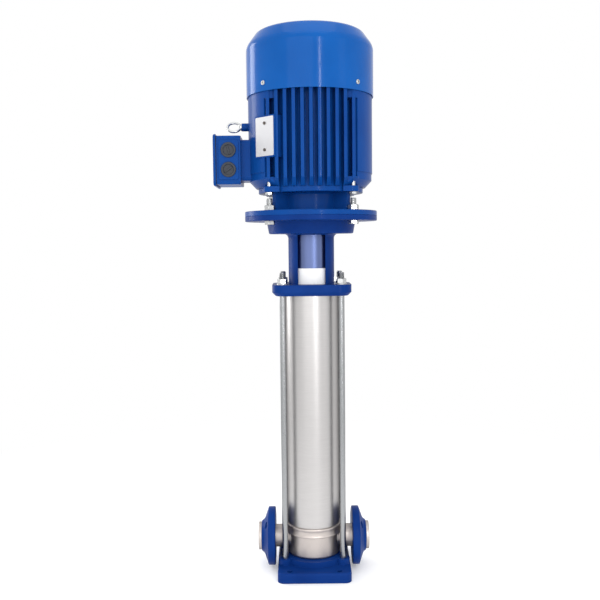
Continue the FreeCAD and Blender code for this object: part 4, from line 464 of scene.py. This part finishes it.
def make_flange_bolts():
    low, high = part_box("flange_bolts")
    nut_low, nut_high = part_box("flange_nuts")
    bolts = bmesh.new()
    nuts = bmesh.new()
    for index, (x, y) in enumerate(four_spots(FLANGE_SPOT, FLANGE_SPOT)):
        tilt = stray(*FLANGE_BOLT_TURN, index)
        top = nut_high.z - THREAD_IN_NUT
        move(bolts, six_sided(bolts, NUT_FLATS, low.z, low.z + FLANGE_HEAD), (x, y, 0), tilt)
        shank = rod(BOLT_RADIUS, low.z + (FLANGE_HEAD - HEAD_SINK), top)
        move(bolts, turned(bolts, shank, BOLT_STEPS), (x, y, 0))
        move(bolts, thread(bolts, BOLT_RADIUS, BOLT_PITCH, top, high.z), (x, y, 0))
        move(nuts, six_sided(nuts, NUT_FLATS, nut_low.z, nut_high.z, NUT_BORE), (x, y, 0), tilt)
    new_piece("flange_bolts_threaded", bolts, zinc_steel, "pump", ["flange_bolts"])
    new_piece("flange_nuts_chamfered", nuts, zinc_steel, "pump", ["flange_nuts"])


def make_shield_bolts(node, head_up):
    low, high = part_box(node)
    shank_end = SHIELD_BOLT_HEAD - HEAD_SINK
    bolts = bmesh.new()
    for index, (x, y) in enumerate(four_spots(FLANGE_SPOT, FLANGE_SPOT)):
        if head_up:
            head, shank = (high.z - SHIELD_BOLT_HEAD, high.z), (low.z, high.z - shank_end)
        else:
            head, shank = (low.z, low.z + SHIELD_BOLT_HEAD), (low.z + shank_end, high.z)
        tilt = stray(*SHIELD_BOLT_TURN, index)
        move(bolts, six_sided(bolts, SHIELD_BOLT_FLATS, *head), (x, y, 0), tilt)
        move(bolts, turned(bolts, rod(SHIELD_BOLT_RADIUS, *shank), SHIELD_BOLT_STEPS), (x, y, 0))
    new_piece(node + "_chamfered", bolts, zinc_steel, "pump", [node])


make_stay_bolts()
make_flange_bolts()
make_shield_bolts("drive_end_bolts", False)
make_shield_bolts("fan_end_bolts", True)


# Lifting eye and plugs; each profile gives radius and height from its seat
EYE_FACE = -0.180
EYE_CENTRE = -0.021
EYE_RADIUS = 0.017
EYE_WIRE = 0.0032
EYE_TILT = 50
EYE_STEPS = 56
EYE_WIRE_STEPS = 20
EYE_COLLAR = ((0, 0), (0.0090, 0), (0.0095, 0.0005), (0.0095, 0.0022), (0.0082, 0.0032),
              (0.0056, 0.0036), (0.0042, 0.0042), (0.0036, 0.0050), (0, 0.0050))

VENT_FLATS = 0.019
VENT_HEXAGON = (0.0012, 0.009)
VENT_SHANK = ((0, -0.012), (0.0065, -0.012), (0.0065, 0), (0.0094, 0), (0.0094, 0.0014), (0, 0.0014))
VENT_STEM = ((0, 0.0088), (0.0045, 0.0088), (0.0045, 0.0105), (0.0036, 0.0112), (0.0036, 0.0128),
             (0.0045, 0.0135))
VENT_TIP = ((0.0045, -0.0012), (0.0034, 0), (0, 0))

DRAIN_FLATS = 0.022
DRAIN_HEXAGON = (0.0012, 0.0080)
DRAIN_HEAD = 0.008
DRAIN_SHANK = ((0, -0.011), (0.008, -0.011), (0.008, 0), (0.0105, 0), (0.0105, 0.0014), (0, 0.0014))


def make_lifting_eye():
    low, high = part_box("lifting_eye")
    level = (low.z + high.z) / 2
    shape = bmesh.new()
    ring = bmesh.ops.create_circle(shape, segments=EYE_WIRE_STEPS, radius=EYE_WIRE)["verts"]
    bmesh.ops.rotate(shape, verts=ring, cent=(0, 0, 0), matrix=Matrix.Rotation(math.pi / 2, 3, "X"))
    bmesh.ops.translate(shape, verts=ring, vec=(EYE_RADIUS, 0, 0))
    bmesh.ops.spin(shape, geom=ring + edges_of(ring), cent=(0, 0, 0), axis=(0, 0, 1),
                   angle=2 * math.pi, steps=EYE_STEPS, use_merge=True)
    tilt = Matrix.Rotation(math.radians(EYE_TILT), 4, "X")
    move(shape, list(shape.verts), (EYE_FACE + EYE_CENTRE, 0, level), tilt)
    collar = turned(shape, EYE_COLLAR, BOLT_STEPS)
    move(shape, collar, (EYE_FACE, 0, level), Matrix.Rotation(-math.pi / 2, 4, "Y"))
    new_piece("lifting_eye_forged", shape, zinc_steel, "pump", ["lifting_eye"])


def make_vent_plug():
    low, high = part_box("vent_plug")
    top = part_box("stay_bolt_washers")[0].z
    shape = bmesh.new()
    six_sided(shape, VENT_FLATS, *(top + height for height in VENT_HEXAGON))
    turned(shape, shifted(VENT_SHANK, top))
    turned(shape, shifted(VENT_STEM, top) + shifted(VENT_TIP, high.z))
    move(shape, list(shape.verts), ((low.x + high.x) / 2, 0, 0))
    new_piece("vent_plug_turned", shape, zinc_steel, "pump", ["vent_plug"])


def make_drain_plug():
    low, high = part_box("drain_plug")
    shape = bmesh.new()
    six_sided(shape, DRAIN_FLATS, *DRAIN_HEXAGON)
    turned(shape, DRAIN_SHANK)
    move(shape, list(shape.verts), (0, high.y - DRAIN_HEAD, (low.z + high.z) / 2),
         Matrix.Rotation(-math.pi / 2, 4, "X"))
    new_piece("drain_plug_turned", shape, casing_steel, "pump", ["drain_plug"])


# Fan cowl and the screws of cowl and lid
COWL_DROP = 0.040
COWL_REACH = 0.029
COWL_SHEET = 0.002
COWL_MOUTH = 0.096
COWL_RIM_INSET = 0.0009
COWL_SHOULDER_DROP = 0.0007
COWL_STEPS = 128
COWL_CREASE = 40
RIM_ROUNDING = 0.011
INNER_RIM_ROUNDING = 0.010
SHOULDER_ROUNDING = 0.010
INNER_SHOULDER_ROUNDING = 0.009

COWL_SCREW = {"shank": 0.0029, "length": 0.010, "radius": 0.006, "height": 0.0029}
COWL_SCREW_SEAT = 0.003 + 0.006
LID_SCREW = {"shank": 0.0024, "length": 0.018, "radius": 0.0045, "height": 0.0029}
LID_SCREW_SEAT = 0.003
LID_SCREW_TURNS = (15, 40, 55, 80)


def outward(angle):
    """Turn that carries +Z to the direction at that angle round the pump."""
    return Matrix.Rotation(angle, 4, "Z") @ Matrix.Rotation(math.pi / 2, 4, "Y")


def make_fan_cowl():
    """Deep-drawn cowl: straight wall, sloping shoulder and flat rim round the grille."""
    low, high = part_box("fan_cowl")
    wall, shoulder, rim = high.x, high.z - COWL_DROP, high.x - COWL_REACH
    inner_wall, inner_shoulder = wall - COWL_SHEET, shoulder - COWL_SHOULDER_DROP
    inner_rim, inner_top = rim - COWL_RIM_INSET, high.z - COWL_SHEET
    shape = bmesh.new()
    turned(shape, [(wall, low.z), (wall, shoulder), (rim, high.z), (COWL_MOUTH, high.z),
                   (COWL_MOUTH, inner_top), (inner_rim, inner_top), (inner_wall, inner_shoulder),
                   (inner_wall, low.z)], COWL_STEPS)
    bmesh.ops.remove_doubles(shape, verts=shape.verts, dist=SAME_PLACE)
    for radius, level, offset in ((rim, high.z, RIM_ROUNDING),
                                  (inner_rim, inner_top, INNER_RIM_ROUNDING),
                                  (wall, shoulder, SHOULDER_ROUNDING),
                                  (inner_wall, inner_shoulder, INNER_SHOULDER_ROUNDING)):
        edges = [edge for edge in shape.edges
                 if all(abs(math.hypot(vert.co.x, vert.co.y) - radius) < 10 * SAME_PLACE
                        and abs(vert.co.z - level) < 10 * SAME_PLACE for vert in edge.verts)]
        bmesh.ops.bevel(shape, geom=edges, offset=offset, segments=6, profile=0.5, affect="EDGES",
                        material=-1)
    new_piece("fan_cowl_drawn", shape, cowl_blue, "pump", ["fan_cowl"], COWL_CREASE)


def make_cowl_screws():
    low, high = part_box("cowl_screws")
    level = (low.z + high.z) / 2
    seat = high.x * math.sqrt(2) - COWL_SCREW_SEAT
    shape = bmesh.new()
    for step in range(4):
        angle = math.radians(45 + 90 * step)
        place = (seat * math.cos(angle), seat * math.sin(angle), level)
        tilt = outward(angle) @ stray(*COWL_SCREW_TURN, step)
        move(shape, pan_screw(shape, **COWL_SCREW), place, tilt)
    new_piece("cowl_screws_pan_head", shape, zinc_steel, "pump", ["cowl_screws"])


def make_lid_screws():
    low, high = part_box("lid_screws")
    radius = LID_SCREW["radius"]
    spots = [(y, z) for y in (low.y + radius, high.y - radius) for z in (low.z + radius, high.z - radius)]
    facing = Matrix.Rotation(-math.pi / 2, 4, "Y")
    shape = bmesh.new()
    for (y, z), angle in zip(spots, LID_SCREW_TURNS):
        spin = Matrix.Rotation(math.radians(angle), 4, "Z")
        move(shape, pan_screw(shape, **LID_SCREW), (low.x + LID_SCREW_SEAT, y, z), facing @ spin)
    new_piece("lid_screws_pan_head", shape, zinc_steel, "pump", ["lid_screws"])


# Cable entry plugs
PLUG_RADIUS = 0.0195
PLUG_FACE = 0.004
PLUG_STEPS = 56
PLUG_TURN = (35, 70)
PLUG_DISH = ((0, -0.0065), (0.0158, -0.0065), (0.0158, 0), (0.0188, 0), (0.0195, 0.0007),
             (0.0195, 0.0028), (0.0185, 0.0038), (0.0145, 0.0040), (0.0130, 0.0030),
             (0.0126, 0.0014), (0, 0.0010))
GRIP_SIZE = (0.0235, 0.0050, 0.0030)
GRIP_LEVEL = 0.0022
GRIP_ROUNDING = 0.0009


def make_cable_plugs():
    """Blanking plugs with a grip bar across a dished face."""
    low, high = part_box("cable_entry_plugs")
    middle = (low.x + high.x) / 2
    shape = bmesh.new()
    for index, z in enumerate((low.z + PLUG_RADIUS, high.z - PLUG_RADIUS)):
        before = set(shape.verts)
        turned(shape, PLUG_DISH, PLUG_STEPS)
        bar = bmesh.ops.create_cube(shape, size=1)["verts"]
        bmesh.ops.scale(shape, verts=bar, vec=GRIP_SIZE)
        bmesh.ops.translate(shape, verts=bar, vec=(0, 0, GRIP_LEVEL))
        bmesh.ops.bevel(shape, geom=edges_of(bar), offset=GRIP_ROUNDING, segments=3, profile=0.5,
                        affect="EDGES", material=-1)
        plug = [vert for vert in shape.verts if vert not in before]
        facing = Matrix.Rotation(math.pi / 2, 4, "X") @ stray(*PLUG_TURN, index)
        move(shape, plug, (middle, low.y + PLUG_FACE, z), facing)
    new_piece("cable_plugs_dished", shape, slate_plastic, "pump", ["cable_entry_plugs"])


# Loose flanges, and the casing's rim and welds; the rim's profile gives radius and height
PORT_LEVEL = 0.084
PORT_PIPE = 0.0302
CASING_RADIUS = 0.070

FLANGE_BORE = 0.0306
FLANGE_HOLE_CIRCLE = 0.120
FLANGE_HOLE_RADIUS = 0.0095
FLANGE_STEPS = 96
DRILL_LENGTH = 0.08
DRILL_STEPS = 32
PIPE_LENGTH = 0.2
PIPE_STEPS = 64

# Rim as depth under the flange's edge and distance from its inner face, then the cone's radii
FLANGE_RIM = ((0.0025, 0), (0.0008, 0.0008), (0, 0.0025), (0, 0.0170), (0.0008, 0.0187), (0.0025, 0.0195))
FLANGE_CONE = ((0.0480, 0.0290), (0.0440, 0.0320))
FLANGE_NOSE = ((0.0415, -0.0020), (0.0405, -0.0006), (0.0390, 0), (FLANGE_BORE, 0))

ROLLED_RIM = ((0.0725, 0.0996), (0.0740, 0.0996), (0.0749, 0.1004), (0.0752, 0.1018), (0.0748, 0.1032),
              (0.0738, 0.1044), (0.0732, 0.1060), (0.0731, 0.1140), (0.0734, 0.1162), (0.0742, 0.1182),
              (0.0748, 0.1202), (0.0747, 0.1224), (0.0738, 0.1239), (0.0722, 0.1245), (0.0701, 0.1245),
              (0.0701, 0.1186), (0.0725, 0.1186))

WELD_RADIUS = 0.0024
WELD_STEPS = 10
WELD_SWELL = 0.16
WELD_RIPPLES = 36
ROUND_STEPS = 144


def cut_away(piece, tools):
    """Take the closed shapes in a bmesh out of a piece for good."""
    tool_mesh = bpy.data.meshes.new("tools")
    tools.to_mesh(tool_mesh)
    tools.free()
    tool = bpy.data.objects.new("tools", tool_mesh)
    bpy.context.scene.collection.objects.link(tool)
    cut = piece.modifiers.new("cut", "BOOLEAN")
    cut.object = tool
    cut.solver = "EXACT"
    bpy.context.view_layer.update()
    finished = bpy.data.meshes.new_from_object(piece.evaluated_get(bpy.context.evaluated_depsgraph_get()))
    piece.modifiers.remove(cut)
    piece.data = finished
    finished.shade_smooth()
    finished.set_sharp_from_angle(angle=math.radians(CREASE_ANGLE))
    bpy.data.objects.remove(tool)


def add_drill(tools, radius, depth, segments, place):
    """Closed cylinder along X, centred on a place."""
    drill = bmesh.ops.create_cone(tools, cap_ends=True, segments=segments, radius1=radius,
                                  radius2=radius, depth=depth)["verts"]
    bmesh.ops.rotate(tools, verts=drill, cent=(0, 0, 0), matrix=Matrix.Rotation(math.pi / 2, 3, "Y"))
    bmesh.ops.translate(tools, verts=drill, vec=place)


def make_port_flange(side):
    """Loose flange with a conical face; four bolt holes go through its rim."""
    node = "inlet_flange" if side < 0 else "outlet_flange"
    low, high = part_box(node)
    inner, outer = sorted((abs(low.x), abs(high.x)))
    edge = (high.z - low.z) / 2
    level = (high.z + low.z) / 2
    rim = [(edge - depth, inner + reach) for depth, reach in FLANGE_RIM]
    shape = bmesh.new()
    turned(shape, [(FLANGE_BORE, inner), *rim, *shifted(FLANGE_CONE, inner), *shifted(FLANGE_NOSE, outer)],
           FLANGE_STEPS)
    move(shape, list(shape.verts), (0, 0, level), Matrix.Rotation(side * math.pi / 2, 4, "Y"))
    piece = new_piece(node + "_conical", shape, cast_blue, "inlet_ring" if side < 0 else "outlet_ring",
                      [node])
    holes = bmesh.new()
    offset = FLANGE_HOLE_CIRCLE / 2 * math.cos(math.pi / 4)
    for y, z in four_spots(offset, offset):
        place = (side * (inner + outer) / 2, y, level + z)
        add_drill(holes, FLANGE_HOLE_RADIUS, DRILL_LENGTH, DRILL_STEPS, place)
    cut_away(piece, holes)


def make_casing_rim():
    """Rolled band round the casing's bell, left open where the port pipes pass."""
    shape = bmesh.new()
    turned(shape, ROLLED_RIM, ROUND_STEPS)
    rim = new_piece("casing_rolled_rim", shape, casing_steel, "pump")
    passage = bmesh.new()
    add_drill(passage, PORT_PIPE, PIPE_LENGTH, PIPE_STEPS, (0, 0, PORT_LEVEL))
    cut_away(rim, passage)


def make_pipe_welds():
    """Rippled bead where each port pipe meets the round casing."""
    shape = bmesh.new()
    for side in (-1, 1):
        ring = bmesh.ops.create_circle(shape, segments=WELD_STEPS, radius=WELD_RADIUS)["verts"]
        bmesh.ops.rotate(shape, verts=ring, cent=(0, 0, 0), matrix=Matrix.Rotation(math.pi / 2, 3, "X"))
        bmesh.ops.translate(shape, verts=ring, vec=(PORT_PIPE, 0, 0))
        before = set(shape.verts) - set(ring)
        bmesh.ops.spin(shape, geom=ring + edges_of(ring), cent=(0, 0, 0), axis=(0, 0, 1),
                       angle=2 * math.pi, steps=ROUND_STEPS, use_merge=True)
        bead = [vert for vert in shape.verts if vert not in before]
        for vert in bead:
            angle = math.atan2(vert.co.y, vert.co.x)
            reach = math.hypot(vert.co.x, vert.co.y)
            swell = 1 + WELD_SWELL * math.sin(WELD_RIPPLES * angle) ** 2
            across = PORT_PIPE + (reach - PORT_PIPE) * swell
            saddle = math.sqrt(CASING_RADIUS ** 2 - (PORT_PIPE * math.sin(angle)) ** 2)
            vert.co = (across * math.cos(angle), across * math.sin(angle), saddle + vert.co.z * swell)
        move(shape, bead, (0, 0, PORT_LEVEL), Matrix.Rotation(side * math.pi / 2, 4, "Y"))
    new_piece("port_pipe_welds", shape, weld_steel, "pump")


make_lifting_eye()
make_vent_plug()
make_drain_plug()
make_fan_cowl()
make_cowl_screws()
make_lid_screws()
make_cable_plugs()
make_pipe_welds()
make_port_flange(-1)
make_port_flange(1)
make_casing_rim()


# Floor, world and lamps
FLOOR_TONE = (0.86, 0.86, 0.86, 1)
FLOOR_ROUGHNESS = 0.7
FLOOR_GLOW = 0.24
FLOOR_GAP = 0.0005
FLOOR_SIZE = 30
FADE_START = 0.5
FADE_END = 1.8
WORLD_LIGHT = 0.92

# Place, target, size and power of each lamp
LAMPS = {
    "key_lamp": ((-0.9, -2.9, 1.5), (0, 0, 0.75), (2.4, 2.6), 18),
    "strip_lamp": ((0.80, -2.68, 1.3), (0, 0, 0.8), (0.10, 2.2), 18),
    "rim_lamp": ((-2.3, 1.5, 1.4), (0, 0, 0.9), (0.8, 2.2), 34),
    "fill_lamp": ((2.3, -1.5, 1.2), (0, 0, 0.7), (0.6, 2.2), 2),
    "top_lamp": ((0, -0.4, 3.4), (0, 0, 0.7), (2.0, 2.0), 12),
}


def seen_directly(tree):
    """1 for camera, glossy and transmission rays, 0 for the light that falls on the pump."""
    path = tree.nodes.new("ShaderNodeLightPath")
    shown = path.outputs["Is Camera Ray"]
    for ray in ("Is Glossy Ray", "Is Transmission Ray"):
        either = tree.nodes.new("ShaderNodeMath")
        either.operation = "MAXIMUM"
        tree.links.new(shown, either.inputs[0])
        tree.links.new(path.outputs[ray], either.inputs[1])
        shown = either.outputs[0]
    return shown


def floor_finish():
    """Pale floor that turns into the white backdrop and keeps the soft shadow."""
    material, tree, shader = new_finish("pale_floor")
    shader.inputs["Base Color"].default_value = FLOOR_TONE
    shader.inputs["Roughness"].default_value = FLOOR_ROUGHNESS
    place = add_node(tree, "TexCoord")
    distance = tree.nodes.new("ShaderNodeVectorMath")
    distance.operation = "LENGTH"
    tree.links.new(place.outputs["Object"], distance.inputs[0])
    far = add_node(tree, "MapRange", From_Min=FADE_START, From_Max=FADE_END)
    far.interpolation_type = "SMOOTHSTEP"
    tree.links.new(distance.outputs["Value"], far.inputs["Value"])
    white = add_node(tree, "Emission", Strength=1.0)
    glow = add_node(tree, "Emission", Strength=FLOOR_GLOW)
    near = add_node(tree, "AddShader")
    sweep = add_node(tree, "MixShader")
    tree.links.new(shader.outputs[0], near.inputs[0])
    tree.links.new(glow.outputs[0], near.inputs[1])
    tree.links.new(far.outputs["Result"], sweep.inputs[0])
    tree.links.new(near.outputs[0], sweep.inputs[1])
    tree.links.new(white.outputs[0], sweep.inputs[2])
    shown = add_node(tree, "MixShader")
    tree.links.new(seen_directly(tree), shown.inputs[0])
    tree.links.new(shader.outputs[0], shown.inputs[1])
    tree.links.new(sweep.outputs[0], shown.inputs[2])
    tree.links.new(shown.outputs[0], tree.nodes["Material Output"].inputs["Surface"])
    return material


def lay_floor():
    mesh = bpy.data.meshes.new("floor")
    shape = bmesh.new()
    bmesh.ops.create_grid(shape, x_segments=1, y_segments=1, size=FLOOR_SIZE)
    bmesh.ops.translate(shape, verts=shape.verts, vec=(0, 0, cad_low.z - FLOOR_GAP))
    shape.to_mesh(mesh)
    shape.free()
    floor = bpy.data.objects.new("floor", mesh)
    bpy.context.scene.collection.objects.link(floor)
    mesh.materials.append(floor_finish())


def light_world():
    world = bpy.data.worlds.new("studio")
    bpy.context.scene.world = world
    world.use_nodes = True
    tree = world.node_tree
    strength = add_node(tree, "MapRange", To_Min=WORLD_LIGHT, To_Max=1.0)
    tree.links.new(seen_directly(tree), strength.inputs["Value"])
    background = tree.nodes["Background"]
    background.inputs["Color"].default_value = (1, 1, 1, 1)
    tree.links.new(strength.outputs["Result"], background.inputs["Strength"])


def hang_lamp(name, place, target, size, power):
    lamp = bpy.data.lights.new(name, "AREA")
    lamp.shape = "RECTANGLE"
    lamp.size, lamp.size_y = size
    lamp.energy = power
    holder = bpy.data.objects.new(name, lamp)
    bpy.context.scene.collection.objects.link(holder)
    holder.location = place
    aim = Vector(target) - Vector(place)
    holder.rotation_euler = aim.to_track_quat("-Z", "Y").to_euler()


lay_floor()
light_world()
for name, (place, target, size, power) in LAMPS.items():
    hang_lamp(name, place, target, size, power)
